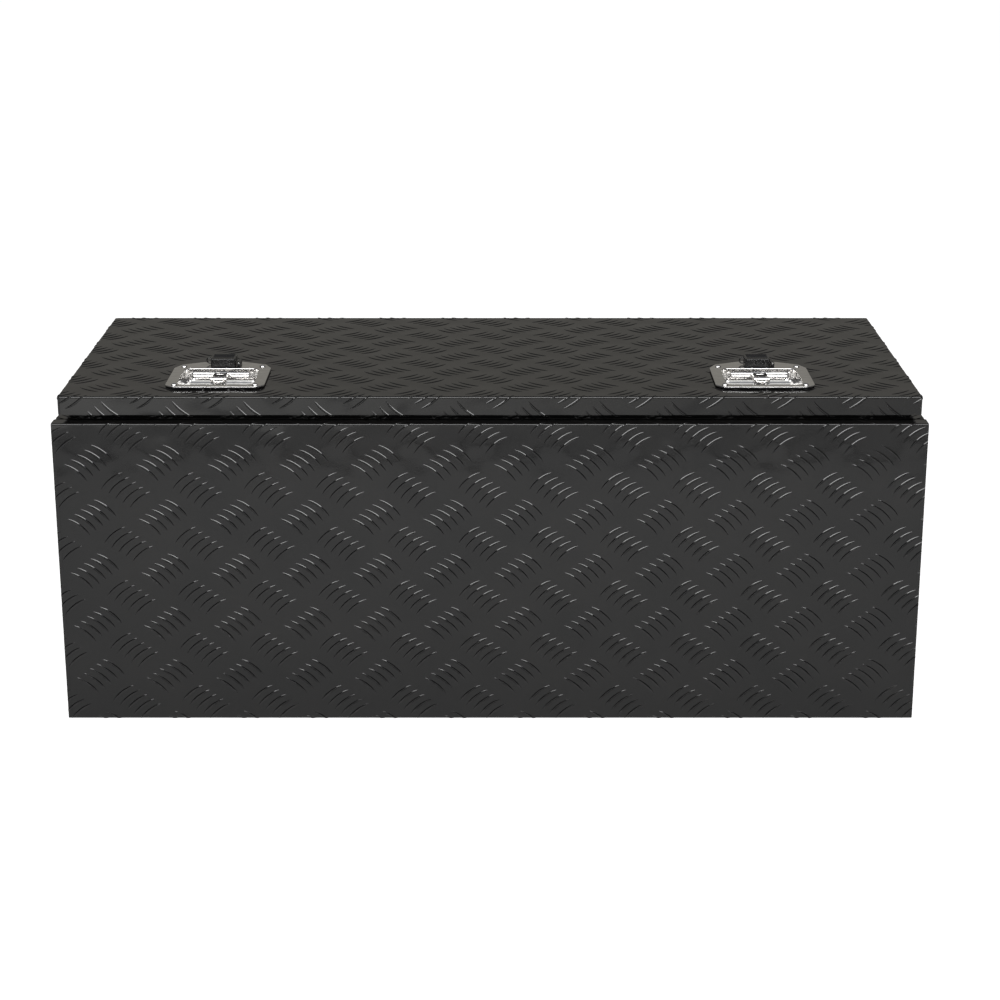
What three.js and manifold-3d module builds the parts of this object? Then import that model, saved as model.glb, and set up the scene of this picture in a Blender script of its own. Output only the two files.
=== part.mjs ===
// Tread-plate tool chest for a truck: a folded body, a hinged lid on two gas struts, and two
// recessed folding T-handle latches, each with a key lock under a small rubber weather cap.
// Millimetres. X runs along the chest, -Y is its front, +Z is up, and the origin is the middle
// of the underside.

import * as THREE from 'three';
import { mergeVertices } from 'three/addons/utils/BufferGeometryUtils.js';
import Module from 'manifold-3d';

const wasm = await Module();
wasm.setup();

// Body. The sheet's thickness is taken over its raised tread bars
const BODY_WIDTH = 1220;
const BODY_DEPTH = 482;
const BODY_HEIGHT = 446;
const SHEET = 3;
const FOLD_INSIDE = 1;
const UPSTAND_HEIGHT = 22;

// Clearances: between pieces that rest on each other, round a turning shaft, and past a cut
const SEAM_GAP = 0.3;
const RUNNING_GAP = 0.3;
const OVERRUN = 2;

// Bulb seal on the upstand
const SEAL_WALL = 2.4;
const SEAL_GRIP = 12;
const SEAL_SQUEEZE_GAP = 0.5;
const SEAL_CORNER = 8;

// Lid
const LID_INSET = 8;
const LID_DAYLIGHT = 10;
const LID_SKIRT = 27;
const LID_CORNER = 5;
const LID_OPEN_DEGREES = 85;

// Hat-section stiffeners under the lid
const HAT_TO_LATCH = 148;
const HAT_FLANGE = 14;
const HAT_CROWN = 34;
const HAT_DEPTH = 18;
const HAT_SHEET = 1.5;
const HAT_FRONT_SETBACK = 12;
const HAT_HINGE_SETBACK = 46;

// Full-length hinge
const HINGE_END_SETBACK = 24;
const HINGE_RISE = 10;
const HINGE_FOOT = 9;
const HINGE_LEAF = 1.5;
const LEAF_TO_LID = 1;
const HINGE_TO_SEAL = 1;
const BARREL_RADIUS = 4;
const HINGE_PIN_RADIUS = 2.2;
const KNUCKLE_GAP = 0.6;
const KNUCKLE_RELIEF = 0.7;

// Gas struts, between studs that lie equally far from the hinge line
const STRUT_TO_SEAL = 7.3;
const STRUT_ARM = 230;
const STRUT_STUD_DROP = 16;
const STRUT_ROD_SHOWING = 52;
const STRUT_END_PLAY = 7;
const STRUT_TUBE_RADIUS = 9;
const STRUT_TUBE_WALL = 1.4;
const STRUT_TUBE_FLOOR = 24;
const STRUT_GLAND = 9;
const STRUT_ROD_RADIUS = 4;
const STRUT_PISTON_LENGTH = 8;
const STRUT_SLIDE_GAP = 0.4;
const STRUT_EYE_RADIUS = 8;
const STRUT_EYE_WIDTH = 9;
const STUD_RADIUS = 4;
const STUD_HEAD_RADIUS = 6;
const STUD_HEAD = 1.5;
const STUD_BOSS_RADIUS = 8;
const BRACKET_SHEET = 3;
const WALL_BRACKET_WIDTH = 44;
const WALL_BRACKET_HEIGHT = 60;
const LID_BRACKET_LENGTH = 44;
const LID_BRACKET_WIDTH = 30;
const LID_LUG_LENGTH = 24;

// Latches: place on the lid, and plate outline
const LATCH_END_SETBACK = 222;
const LATCH_SETBACK = 93.4;
const GASKET = 1.2;
const PLATE = 1.5;
const PLATE_WIDTH = 140;
const PLATE_FRONT = 56;
const PLATE_FRONT_CUT = 11;
const PLATE_SHOULDER_LAND = 22;
const PLATE_SHOULDER_RUN = 19;
const PLATE_SHOULDER_CUT = 9;
const PLATE_REAR_LAND = 19;
const PLATE_REAR_WIDTH = 44;
const PLATE_CORNER = 5;

// Latch pan, with the plate's land round it
const PAN_SIDE_LAND = 16;
const PAN_FRONT_LAND = 12;
const PAN_DROP = 22;
const PAN_WALL = 1.2;
const PAN_CORNER = 12;
const PAN_LIP = 2;
const PAN_FILLET = 8;
const PAN_CUT_GAP = 1.5;

// Latch screws
const SCREW_SIDE_LAND = 13;
const SCREW_FRONT_LAND = 11;
const SCREW_REAR_LAND = 11;
const SCREW_HEAD_RADIUS = 4.6;
const SCREW_HEAD = 2.2;
const SCREW_RADIUS = 2.2;
const SCREW_TAIL = 4;

// T-handle, its hub and the tongue
const PIVOT_DROP = 5;
const GRIP_TO_PAN_REAR = 15;
const GRIP_TO_PAN_SIDE = 11.5;
const GRIP_RADIUS = 4.2;
const STEM_WIDTH = 14;
const STEM_THICKNESS = 6;
const STEM_EYE_RADIUS = 4.5;
const HANDLE_PIN_RADIUS = 2;
const HUB_RADIUS = 12;
const HUB_TOP_DROP = 7.5;
const EAR_THICKNESS = 4;
const EAR_GAP = 0.5;
const EAR_RADIUS = 4.5;
const SPINDLE_RADIUS = 6;
const SPINDLE_THREAD_RADIUS = 4;
const SPINDLE_TAIL = 8;
const TONGUE = 4;
const TONGUE_WIDTH = 24;
const TONGUE_CLEARANCE = 2;
const TONGUE_HOOK = 13;
const NUT_RADIUS = 8;
const NUT_HEIGHT = 5;

// Key lock
const LOCK_TO_PAN = 21;
const LOCK_RADIUS = 9;
const LOCK_FLANGE_RADIUS = 11;
const LOCK_FLANGE = 1.5;
const LOCK_LENGTH = 24;
const PLUG_RADIUS = 5.5;
const KEYWAY_WIDTH = 2;
const KEYWAY_LENGTH = 8;
const KEYWAY_DEPTH = 3;
const CAM = 2.5;
const CAM_WIDTH = 14;
const CAM_REACH = 42;
const LOCK_NUT_RADIUS = 13;
const LOCK_NUT_HEIGHT = 5;

// Weather cap over the key lock, hinged on its right side
const CAP_TO_LOCK = 2;
const CAP_HEIGHT = 12;
const CAP_CORNER = 3;
const CAP_EDGE = 1.5;
const CAP_SIDE_WALL = 5;
const CAP_END_WALL = 2.5;
const CAP_ROOF = 3;
const CAP_HINGE_OUT = 4.4;
const CAP_KNUCKLE_RADIUS = 2.6;
const CAP_KNUCKLE_LENGTH = 12;
const CAP_PIN_RADIUS = 1.1;
const CAP_EAR = 3;
const CAP_BASE = 1;
const RING_RADIUS = 5;
const RING_WIRE = 2;
const RING_REACH = 3;

// Facets
const FILLET_STEPS = 3;
const CORNER_STEPS = 3;
const FINE_SIDES = 20;
const PLAIN_SIDES = 12;
const SMALL_SIDES = 8;
const HEX_SIDES = 6;
const KNUCKLES = 25;

// Places worked out from the sizes above
const BODY_HALF_X = BODY_WIDTH / 2;
const BODY_HALF_Y = BODY_DEPTH / 2;
const LEDGE_UNDER = BODY_HEIGHT - SHEET;
const UPSTAND_TOP = BODY_HEIGHT + UPSTAND_HEIGHT;
const LID_HALF_X = BODY_HALF_X - LID_INSET;
const LID_HALF_Y = BODY_HALF_Y - LID_INSET;
const SKIRT_BOTTOM = BODY_HEIGHT + LID_DAYLIGHT;
const LID_TOP = SKIRT_BOTTOM + LID_SKIRT;
const LID_UNDER = LID_TOP - SHEET;
const SEAL_OUTSIDE = SEAM_GAP + SEAL_WALL;
const LEDGE_FREE_WIDTH = LID_INSET + SHEET + SEAM_GAP + 2 * BARREL_RADIUS + HINGE_TO_SEAL;
const LEDGE_WIDTH = LEDGE_FREE_WIDTH + SEAL_OUTSIDE + SHEET;
const HINGE_Y = LID_HALF_Y - SHEET - SEAM_GAP - BARREL_RADIUS;
const HINGE_LENGTH = BODY_WIDTH - 2 * HINGE_END_SETBACK;
const HINGE_Z = BODY_HEIGHT + HINGE_RISE;
const HINGE_LEAF_HEIGHT = LID_UNDER - LEAF_TO_LID - HINGE_Z;
const LID_LUG_OUTSIDE = BODY_HALF_X - LEDGE_WIDTH - SEAL_OUTSIDE - STRUT_TO_SEAL;
const STRUT_X = LID_LUG_OUTSIDE - BRACKET_SHEET - EAR_GAP - STRUT_EYE_WIDTH / 2;
const LATCH_X = BODY_HALF_X - LATCH_END_SETBACK;
const LATCH_Y = LATCH_SETBACK - LID_HALF_Y;
const PAN_HALF_X = PLATE_WIDTH / 2 - PAN_SIDE_LAND;
const PAN_HALF_Y = PLATE_FRONT - PAN_FRONT_LAND;
const PLATE_SHOULDER = PAN_HALF_Y + PLATE_SHOULDER_LAND;
const LOCK_OFFSET = PAN_HALF_Y + LOCK_TO_PAN;
const PLATE_REAR = LOCK_OFFSET + PLATE_REAR_LAND;
const HANDLE_REACH = PAN_HALF_Y - GRIP_TO_PAN_REAR;
const GRIP_LENGTH = 2 * (PAN_HALF_X - GRIP_TO_PAN_SIDE);
const PLATE_TOP = SEAM_GAP + GASKET + SEAM_GAP + PLATE;
const PAN_FLOOR = PLATE_TOP - PAN_DROP;
const PIVOT_Z = PLATE_TOP - PIVOT_DROP;
const TONGUE_TOP = LEDGE_UNDER - TONGUE_CLEARANCE - LID_TOP;
const TONGUE_REACH = BODY_HALF_Y - LEDGE_WIDTH + LATCH_Y + TONGUE_HOOK;

const RIGHT_ANGLE = Math.PI / 2;
const X_AXIS = new THREE.Vector3(1, 0, 0);
const Y_AXIS = new THREE.Vector3(0, 1, 0);
const Z_AXIS = new THREE.Vector3(0, 0, 1);

// Finishes
const finish = (color, roughness, metalness) =>
  new THREE.MeshStandardMaterial({ color, roughness, metalness });
const POWDER_COAT = finish(0x39393b, 0.35, 0.2);
const POLISHED_STEEL = finish(0xc9c8c6, 0.18, 1);
const BRIGHT_ZINC = finish(0xb4b6b8, 0.35, 1);
const BLACK_STEEL = finish(0x151516, 0.4, 0.6);
const BLACK_RUBBER = finish(0x111112, 0.8, 0);
const BRASS = finish(0xb39a5c, 0.35, 1);

// Closed meshes and booleans

function solidOf(geometry) {
  const bare = geometry.clone();
  bare.deleteAttribute('normal');
  bare.deleteAttribute('uv');
  const merged = mergeVertices(bare);
  return new wasm.Manifold(new wasm.Mesh({
    numProp: 3,
    vertProperties: merged.attributes.position.array,
    triVerts: Uint32Array.from(merged.index.array),
  }));
}

function geometryOf(solid) {
  const mesh = solid.getMesh();
  const geometry = new THREE.BufferGeometry();
  geometry.setAttribute('position', new THREE.BufferAttribute(mesh.vertProperties, 3));
  geometry.setIndex(new THREE.BufferAttribute(mesh.triVerts, 1));
  geometry.computeVertexNormals();
  return geometry;
}

function joined(...geometries) {
  return geometries.map(solidOf).reduce((whole, piece) => whole.add(piece));
}

function cut(solid, ...geometries) {
  return geometries.map(solidOf).reduce((left, piece) => left.subtract(piece), solid);
}

function boxAt(sizeX, sizeY, sizeZ, x, y, z) {
  return new THREE.BoxGeometry(sizeX, sizeY, sizeZ).translate(x, y, z);
}

// A cylinder along `axis`, from `start` towards its positive end
function rod(radius, length, axis, start, sides) {
  const geometry = new THREE.CylinderGeometry(radius, radius, length, sides);
  geometry.translate(0, length / 2, 0);
  geometry.applyQuaternion(new THREE.Quaternion().setFromUnitVectors(Y_AXIS, axis));
  return geometry.translate(start.x, start.y, start.z);
}

function at(x, y, z) {
  return new THREE.Vector3(x, y, z);
}

function extruded(shape, length) {
  return new THREE.ExtrudeGeometry(shape, { depth: length, bevelEnabled: false });
}

// A section drawn in Y and Z, run along X about the middle
function runAlongX(shape, length) {
  const turned = new THREE.Matrix4().makeBasis(Y_AXIS, Z_AXIS, X_AXIS);
  return extruded(shape, length).translate(0, 0, -length / 2).applyMatrix4(turned);
}

// A section drawn in X and Z, run along Y about the middle
function runAlongY(shape, length) {
  const turned = new THREE.Matrix4().makeBasis(X_AXIS, Z_AXIS, Y_AXIS.clone().negate());
  return extruded(shape, length).translate(0, 0, -length / 2).applyMatrix4(turned);
}

// Outlines and rings

// Each corner is [x, y, radius], and a radius of zero keeps it sharp
function roundedOutline(corners) {
  const outline = [];
  corners.forEach(([x, y, radius], index) => {
    const corner = new THREE.Vector2(x, y);
    if (!radius) {
      outline.push(corner);
      return;
    }
    const [beforeX, beforeY] = corners.at(index - 1);
    const [afterX, afterY] = corners[(index + 1) % corners.length];
    const before = new THREE.Vector2(beforeX, beforeY).sub(corner).normalize();
    const after = new THREE.Vector2(afterX, afterY).sub(corner).normalize();
    const half = before.angleTo(after) / 2;
    const reach = radius / Math.tan(half);
    const inwards = before.clone().add(after).normalize();
    const middle = inwards.multiplyScalar(radius / Math.sin(half)).add(corner);
    const start = before.multiplyScalar(reach).add(corner).sub(middle).angle();
    const end = after.multiplyScalar(reach).add(corner).sub(middle).angle();
    const sweep = Math.atan2(Math.sin(end - start), Math.cos(end - start));
    for (let step = 0; step <= FILLET_STEPS; step += 1) {
      const angle = start + sweep * step / FILLET_STEPS;
      const spoke = new THREE.Vector2(Math.cos(angle), Math.sin(angle)).multiplyScalar(radius);
      outline.push(spoke.add(middle));
    }
  });
  return new THREE.Shape(outline);
}

// Section of a folded sheet: `line` is one face, and the other face lies to its left
function foldedSheet(line, thickness) {
  const points = line.map(([x, y]) => new THREE.Vector2(x, y));
  const leftOf = (from, to) => new THREE.Vector2(from.y - to.y, to.x - from.x).normalize();
  const near = [];
  const far = [];
  points.forEach((point, index) => {
    const normals = [];
    if (index > 0) normals.push(leftOf(points[index - 1], point));
    if (index < points.length - 1) normals.push(leftOf(point, points[index + 1]));
    const mitre = normals.reduce((sum, normal) => sum.clone().add(normal)).clone().normalize();
    const offset = mitre.clone().multiplyScalar(thickness / mitre.dot(normals[0]));
    const isFold = normals.length > 1;
    const turnsLeft = isFold && normals[0].cross(normals[1]) > 0;
    const outside = FOLD_INSIDE + thickness;
    const [nearRadius, farRadius] = turnsLeft ? [outside, FOLD_INSIDE] : [FOLD_INSIDE, outside];
    near.push([point.x, point.y, isFold ? nearRadius : 0]);
    far.unshift([point.x + offset.x, point.y + offset.y, isFold ? farRadius : 0]);
  });
  return roundedOutline([...near, ...far]);
}

// One level ring of a rounded rectangle about the Z axis
function ring(halfX, halfY, corner, z) {
  const points = [];
  for (let quarter = 0; quarter < 4; quarter += 1) {
    const signX = quarter === 0 || quarter === 3 ? 1 : -1;
    const signY = quarter < 2 ? 1 : -1;
    for (let step = 0; step <= CORNER_STEPS; step += 1) {
      const angle = (quarter + step / CORNER_STEPS) * RIGHT_ANGLE;
      const x = signX * (halfX - corner) + corner * Math.cos(angle);
      const y = signY * (halfY - corner) + corner * Math.sin(angle);
      points.push(at(x, y, z));
    }
  }
  return points;
}

// A closed body through stacked rings, capped at the first and the last
function loft(rings) {
  const count = rings[0].length;
  const positions = rings.flat();
  const first = positions.length;
  const middle = (points) => {
    const sum = points.reduce((total, point) => total.add(point), at(0, 0, 0));
    return sum.divideScalar(count);
  };
  positions.push(middle(rings[0]), middle(rings.at(-1)));
  const faces = [];
  const top = (rings.length - 1) * count;
  for (let step = 0; step < count; step += 1) {
    const next = (step + 1) % count;
    faces.push(first, next, step, first + 1, top + step, top + next);
    for (let level = 0; level < top; level += count) {
      faces.push(level + step, level + next, level + count + next);
      faces.push(level + step, level + count + next, level + count + step);
    }
  }
  return meshFrom(positions, faces);
}

// A section of [outward offset, z] points carried round a rounded rectangle
function ringSweep(halfX, halfY, corner, section) {
  const rings = section.map(([offset, z]) => ring(halfX + offset, halfY + offset, corner + offset, z));
  const count = rings[0].length;
  const faces = [];
  rings.forEach((unused, level) => {
    const here = level * count;
    const beyond = ((level + 1) % rings.length) * count;
    for (let step = 0; step < count; step += 1) {
      const next = (step + 1) % count;
      faces.push(here + step, here + next, beyond + next, here + step, beyond + next, beyond + step);
    }
  });
  return meshFrom(rings.flat(), faces);
}

function meshFrom(positions, faces) {
  const geometry = new THREE.BufferGeometry();
  geometry.setFromPoints(positions);
  geometry.setIndex(faces);
  geometry.computeVertexNormals();
  return geometry;
}

// Quarter-round steps for an edge of `radius`: how far in, and how far along, each ring lies
function quarterRound(radius) {
  return Array.from({ length: FILLET_STEPS + 1 }, (unused, step) => {
    const angle = RIGHT_ANGLE * step / FILLET_STEPS;
    return [radius * (1 - Math.cos(angle)), radius * Math.sin(angle)];
  });
}

const chest = new THREE.Group();

function addPiece(parent, name, geometry, material) {
  const mesh = new THREE.Mesh(geometry, material);
  mesh.name = name;
  parent.add(mesh);
  return mesh;
}

// Body: one sheet folded into front, floor, back, ledges and upstands, and two end panels

function bodyWrap() {
  const upstandY = BODY_HALF_Y - LEDGE_WIDTH + SHEET;
  const section = foldedSheet([
    [-upstandY, UPSTAND_TOP],
    [-upstandY, BODY_HEIGHT],
    [-BODY_HALF_Y, BODY_HEIGHT],
    [-BODY_HALF_Y, 0],
    [BODY_HALF_Y, 0],
    [BODY_HALF_Y, BODY_HEIGHT],
    [upstandY, BODY_HEIGHT],
    [upstandY, UPSTAND_TOP],
  ], SHEET);
  const trimWidth = LEDGE_WIDTH - SHEET + OVERRUN;
  const trimHeight = UPSTAND_HEIGHT + OVERRUN;
  const trims = [-1, 1].map((side) => boxAt(
    trimWidth,
    BODY_DEPTH,
    trimHeight,
    side * (BODY_HALF_X + OVERRUN - trimWidth / 2),
    0,
    BODY_HEIGHT + trimHeight / 2,
  ));
  return geometryOf(cut(solidOf(runAlongX(section, BODY_WIDTH)), ...trims));
}

function endPanel(side) {
  const upstandX = BODY_HALF_X - LEDGE_WIDTH + SHEET;
  const line = [
    [side * BODY_HALF_X, SHEET + SEAM_GAP],
    [side * BODY_HALF_X, BODY_HEIGHT],
    [side * upstandX, BODY_HEIGHT],
    [side * upstandX, UPSTAND_TOP],
  ];
  const section = foldedSheet(side > 0 ? line : line.reverse(), SHEET);
  const length = BODY_DEPTH - 2 * (SHEET + SEAM_GAP);
  const notchDepth = LEDGE_WIDTH + SEAM_GAP + OVERRUN;
  const notchBottom = LEDGE_UNDER - SEAM_GAP;
  const notchHeight = UPSTAND_TOP + OVERRUN - notchBottom;
  const notches = [-1, 1].map((end) => boxAt(
    BODY_WIDTH + OVERRUN,
    notchDepth,
    notchHeight,
    0,
    end * (BODY_HALF_Y + OVERRUN - notchDepth / 2),
    notchBottom + notchHeight / 2,
  ));
  return geometryOf(cut(solidOf(runAlongY(section, length)), ...notches));
}

// The seal grips the upstand and ends in a bulb just under the lid
function rimSeal() {
  const slot = SHEET / 2 + SEAM_GAP;
  const half = slot + SEAL_WALL;
  const bottom = UPSTAND_TOP - SEAL_GRIP;
  const slotTop = UPSTAND_TOP + SEAM_GAP;
  const bulbMiddle = LID_UNDER - SEAL_SQUEEZE_GAP - half;
  const section = [
    [-slot, slotTop],
    [slot, slotTop],
    [slot, bottom],
    [half, bottom],
  ];
  for (let step = 0; step <= SMALL_SIDES / 2; step += 1) {
    const angle = Math.PI * step / (SMALL_SIDES / 2);
    section.push([half * Math.cos(angle), bulbMiddle + half * Math.sin(angle)]);
  }
  section.push([-half, bottom], [-slot, bottom]);
  const lineX = BODY_HALF_X - LEDGE_WIDTH + SHEET / 2;
  const lineY = BODY_HALF_Y - LEDGE_WIDTH + SHEET / 2;
  const sweep = ringSweep(lineX, lineY, SEAL_CORNER, section);
  return geometryOf(cut(solidOf(sweep), ...upstandCorners(slot)));
}

// The upstand's square corners, with the seal's clearance round them
function upstandCorners(slot) {
  const size = SEAL_CORNER + slot;
  const lineX = BODY_HALF_X - LEDGE_WIDTH + SHEET / 2;
  const lineY = BODY_HALF_Y - LEDGE_WIDTH + SHEET / 2;
  const height = SEAL_GRIP + OVERRUN;
  const middleZ = UPSTAND_TOP + SEAM_GAP - height / 2;
  const corners = [];
  for (const sideX of [-1, 1]) {
    for (const sideY of [-1, 1]) {
      const outerX = lineX + slot;
      const outerY = lineY + slot;
      corners.push(boxAt(size, 2 * slot, height, sideX * (outerX - size / 2), sideY * lineY, middleZ));
      corners.push(boxAt(2 * slot, size, height, sideX * lineX, sideY * (outerY - size / 2), middleZ));
    }
  }
  return corners;
}

// Lid: a tray with rounded edges, cut for the latches

function lidTray() {
  const innerX = LID_HALF_X - SHEET;
  const innerY = LID_HALF_Y - SHEET;
  const innerCorner = LID_CORNER - SHEET;
  const outerEdge = FOLD_INSIDE + SHEET;
  const inside = quarterRound(FOLD_INSIDE).map(([inset, rise]) => ring(
    innerX - inset,
    innerY - inset,
    innerCorner - inset,
    LID_UNDER - FOLD_INSIDE + rise,
  ));
  const outside = quarterRound(outerEdge).map(([inset, rise]) => ring(
    LID_HALF_X - inset,
    LID_HALF_Y - inset,
    LID_CORNER - inset,
    LID_TOP - outerEdge + rise,
  ));
  return loft([
    ...inside.reverse(),
    ring(innerX, innerY, innerCorner, SKIRT_BOTTOM),
    ring(LID_HALF_X, LID_HALF_Y, LID_CORNER, SKIRT_BOTTOM),
    ...outside,
  ]);
}

const LATCH_SIDES = [-1, 1];

function lidSkin() {
  const panX = PAN_HALF_X + PAN_WALL + PAN_CUT_GAP;
  const panY = PAN_HALF_Y + PAN_WALL + PAN_CUT_GAP;
  const corner = PAN_CORNER + PAN_WALL + PAN_CUT_GAP;
  const depth = SHEET + 2 * OVERRUN;
  const bottom = LID_UNDER - OVERRUN;
  const cuts = [];
  for (const side of LATCH_SIDES) {
    const x = side * LATCH_X;
    const pan = loft([ring(panX, panY, corner, bottom), ring(panX, panY, corner, bottom + depth)]);
    cuts.push(pan.translate(x, LATCH_Y, 0));
    const barrel = at(x, LATCH_Y + LOCK_OFFSET, bottom);
    cuts.push(rod(LOCK_RADIUS + SEAM_GAP, depth, Z_AXIS, barrel, FINE_SIDES));
    for (const [screwX, screwY] of screwPlaces()) {
      const hole = at(x + screwX, LATCH_Y + screwY, bottom);
      cuts.push(rod(SCREW_RADIUS + SEAM_GAP, depth, Z_AXIS, hole, SMALL_SIDES));
    }
  }
  return geometryOf(cut(solidOf(lidTray()), ...cuts));
}

function screwPlaces() {
  const side = PLATE_WIDTH / 2 - SCREW_SIDE_LAND;
  const front = SCREW_FRONT_LAND - PLATE_FRONT;
  const rear = PLATE_SHOULDER - SCREW_REAR_LAND;
  return [[-side, front], [side, front], [-side, rear], [side, rear]];
}

// Hat section: flanges against the lid, crown below
function lidStiffener() {
  const top = LID_UNDER - SEAM_GAP;
  const halfCrown = HAT_CROWN / 2;
  const section = foldedSheet([
    [-halfCrown - HAT_FLANGE, top - HAT_SHEET],
    [-halfCrown, top - HAT_SHEET],
    [-halfCrown, top - HAT_DEPTH],
    [halfCrown, top - HAT_DEPTH],
    [halfCrown, top - HAT_SHEET],
    [halfCrown + HAT_FLANGE, top - HAT_SHEET],
  ], HAT_SHEET);
  const front = LEDGE_WIDTH + HAT_FRONT_SETBACK - BODY_HALF_Y;
  const back = HINGE_Y - HAT_HINGE_SETBACK;
  return runAlongY(section, back - front).translate(0, (front + back) / 2, 0);
}

// Hinge: leaf plates with alternate knuckles round one long pin

function knuckles(isMine, radius, gap, sides) {
  const pitch = HINGE_LENGTH / KNUCKLES;
  const pieces = [];
  for (let index = 0; index < KNUCKLES; index += 1) {
    if ((index % 2 === 0) === isMine) {
      const start = at(index * pitch - HINGE_LENGTH / 2 + gap / 2, HINGE_Y, HINGE_Z);
      pieces.push(rod(radius, pitch - gap, X_AXIS, start, sides));
    }
  }
  return pieces;
}

function hingeLeaf(plate, isBodySide) {
  const bore = rod(
    HINGE_PIN_RADIUS + RUNNING_GAP,
    HINGE_LENGTH + 2 * OVERRUN,
    X_AXIS,
    at(-HINGE_LENGTH / 2 - OVERRUN, HINGE_Y, HINGE_Z),
    SMALL_SIDES,
  );
  const clearance = knuckles(!isBodySide, BARREL_RADIUS + KNUCKLE_RELIEF, -KNUCKLE_GAP, SMALL_SIDES);
  const notched = cut(solidOf(plate), ...clearance);
  const own = knuckles(isBodySide, BARREL_RADIUS, KNUCKLE_GAP, SMALL_SIDES);
  const whole = own.map(solidOf).reduce((sum, piece) => sum.add(piece), notched);
  return geometryOf(cut(whole, bore));
}

function bodyLeafPlate() {
  const riserY = HINGE_Y - BARREL_RADIUS;
  const bottom = BODY_HEIGHT + SEAM_GAP;
  const section = foldedSheet([
    [riserY, HINGE_Z],
    [riserY, bottom],
    [riserY + HINGE_FOOT, bottom],
  ], HINGE_LEAF);
  return runAlongX(section, HINGE_LENGTH);
}

function lidLeafPlate() {
  const outerY = HINGE_Y + BARREL_RADIUS;
  return boxAt(
    HINGE_LENGTH,
    HINGE_LEAF,
    HINGE_LEAF_HEIGHT,
    0,
    outerY - HINGE_LEAF / 2,
    HINGE_Z + HINGE_LEAF_HEIGHT / 2,
  );
}

function hingePin() {
  const start = at(-HINGE_LENGTH / 2, HINGE_Y, HINGE_Z);
  return rod(HINGE_PIN_RADIUS, HINGE_LENGTH, X_AXIS, start, SMALL_SIDES);
}

// Gas struts. The angle between a closed strut's studs, seen from the hinge line, leaves the open
// strut just the length of its own parts, and each strut's lengths follow from that travel
const openingAngle = THREE.MathUtils.degToRad(LID_OPEN_DEGREES);
const sealedLength = STRUT_TUBE_FLOOR + STRUT_PISTON_LENGTH + STRUT_GLAND + 2 * STRUT_END_PLAY;
const sineReach = 2 * STRUT_ARM * (2 - Math.cos(openingAngle / 2));
const cosineReach = 2 * STRUT_ARM * Math.sin(openingAngle / 2);
const spareShare = (sealedLength + STRUT_ROD_SHOWING) / Math.hypot(sineReach, cosineReach);
const closedAngle = 2 * (Math.asin(spareShare) + Math.atan2(cosineReach, sineReach));
const closedSpan = 2 * STRUT_ARM * Math.sin(closedAngle / 2);
const openSpan = 2 * STRUT_ARM * Math.sin((closedAngle + openingAngle) / 2);
const STRUT_ROD_LENGTH = closedSpan - STRUT_TUBE_FLOOR - STRUT_END_PLAY;
const STRUT_TUBE_LENGTH = openSpan - closedSpan + sealedLength;

// Lid stud and body stud, seen in the Y-Z plane
const lidStudRise = LID_UNDER - STRUT_STUD_DROP - HINGE_Z;
const lidStudY = HINGE_Y - Math.sqrt(STRUT_ARM ** 2 - lidStudRise ** 2);
const lidStudAngle = Math.atan2(lidStudRise, lidStudY - HINGE_Y);
const bodyStudAngle = lidStudAngle + closedAngle;
const LID_STUD = at(0, lidStudY, HINGE_Z + lidStudRise);
const BODY_STUD = at(
  0,
  HINGE_Y + STRUT_ARM * Math.cos(bodyStudAngle),
  HINGE_Z + STRUT_ARM * Math.sin(bodyStudAngle),
);

// The eye at a strut's end, bored for its stud
function withEye(solid) {
  const half = STRUT_EYE_WIDTH / 2;
  const eye = solidOf(rod(STRUT_EYE_RADIUS, STRUT_EYE_WIDTH, X_AXIS, at(-half, 0, 0), PLAIN_SIDES));
  const start = at(-half - OVERRUN, 0, 0);
  const bore = rod(STUD_RADIUS + RUNNING_GAP, STRUT_EYE_WIDTH + 2 * OVERRUN, X_AXIS, start, PLAIN_SIDES);
  return geometryOf(cut(solid.add(eye), bore));
}

// Tube along +Y from its eye, closed at the eye end, with the rod's guide at the other
function strutTube() {
  const bore = STRUT_TUBE_RADIUS - STRUT_TUBE_WALL;
  const mouth = STRUT_ROD_RADIUS + STRUT_SLIDE_GAP;
  const profile = [
    [0, 0],
    [STRUT_ROD_RADIUS, 0],
    [STRUT_ROD_RADIUS, STRUT_TUBE_FLOOR - STRUT_TUBE_RADIUS],
    [STRUT_TUBE_RADIUS, STRUT_TUBE_FLOOR - STRUT_TUBE_WALL],
    [STRUT_TUBE_RADIUS, STRUT_TUBE_LENGTH],
    [mouth, STRUT_TUBE_LENGTH],
    [mouth, STRUT_TUBE_LENGTH - STRUT_GLAND],
    [bore, STRUT_TUBE_LENGTH - STRUT_GLAND],
    [bore, STRUT_TUBE_FLOOR],
    [0, STRUT_TUBE_FLOOR],
  ].map(([radius, along]) => new THREE.Vector2(radius, along));
  return withEye(solidOf(new THREE.LatheGeometry(profile, PLAIN_SIDES)));
}

// Rod along +Y from its eye, with the piston at the far end
function strutRod() {
  const piston = STRUT_TUBE_RADIUS - STRUT_TUBE_WALL - STRUT_SLIDE_GAP;
  const profile = [
    [0, 0],
    [STRUT_ROD_RADIUS, 0],
    [STRUT_ROD_RADIUS, STRUT_ROD_LENGTH - STRUT_PISTON_LENGTH],
    [piston, STRUT_ROD_LENGTH - STRUT_PISTON_LENGTH],
    [piston, STRUT_ROD_LENGTH],
    [0, STRUT_ROD_LENGTH],
  ].map(([radius, along]) => new THREE.Vector2(radius, along));
  return withEye(solidOf(new THREE.LatheGeometry(profile, PLAIN_SIDES)));
}

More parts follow.
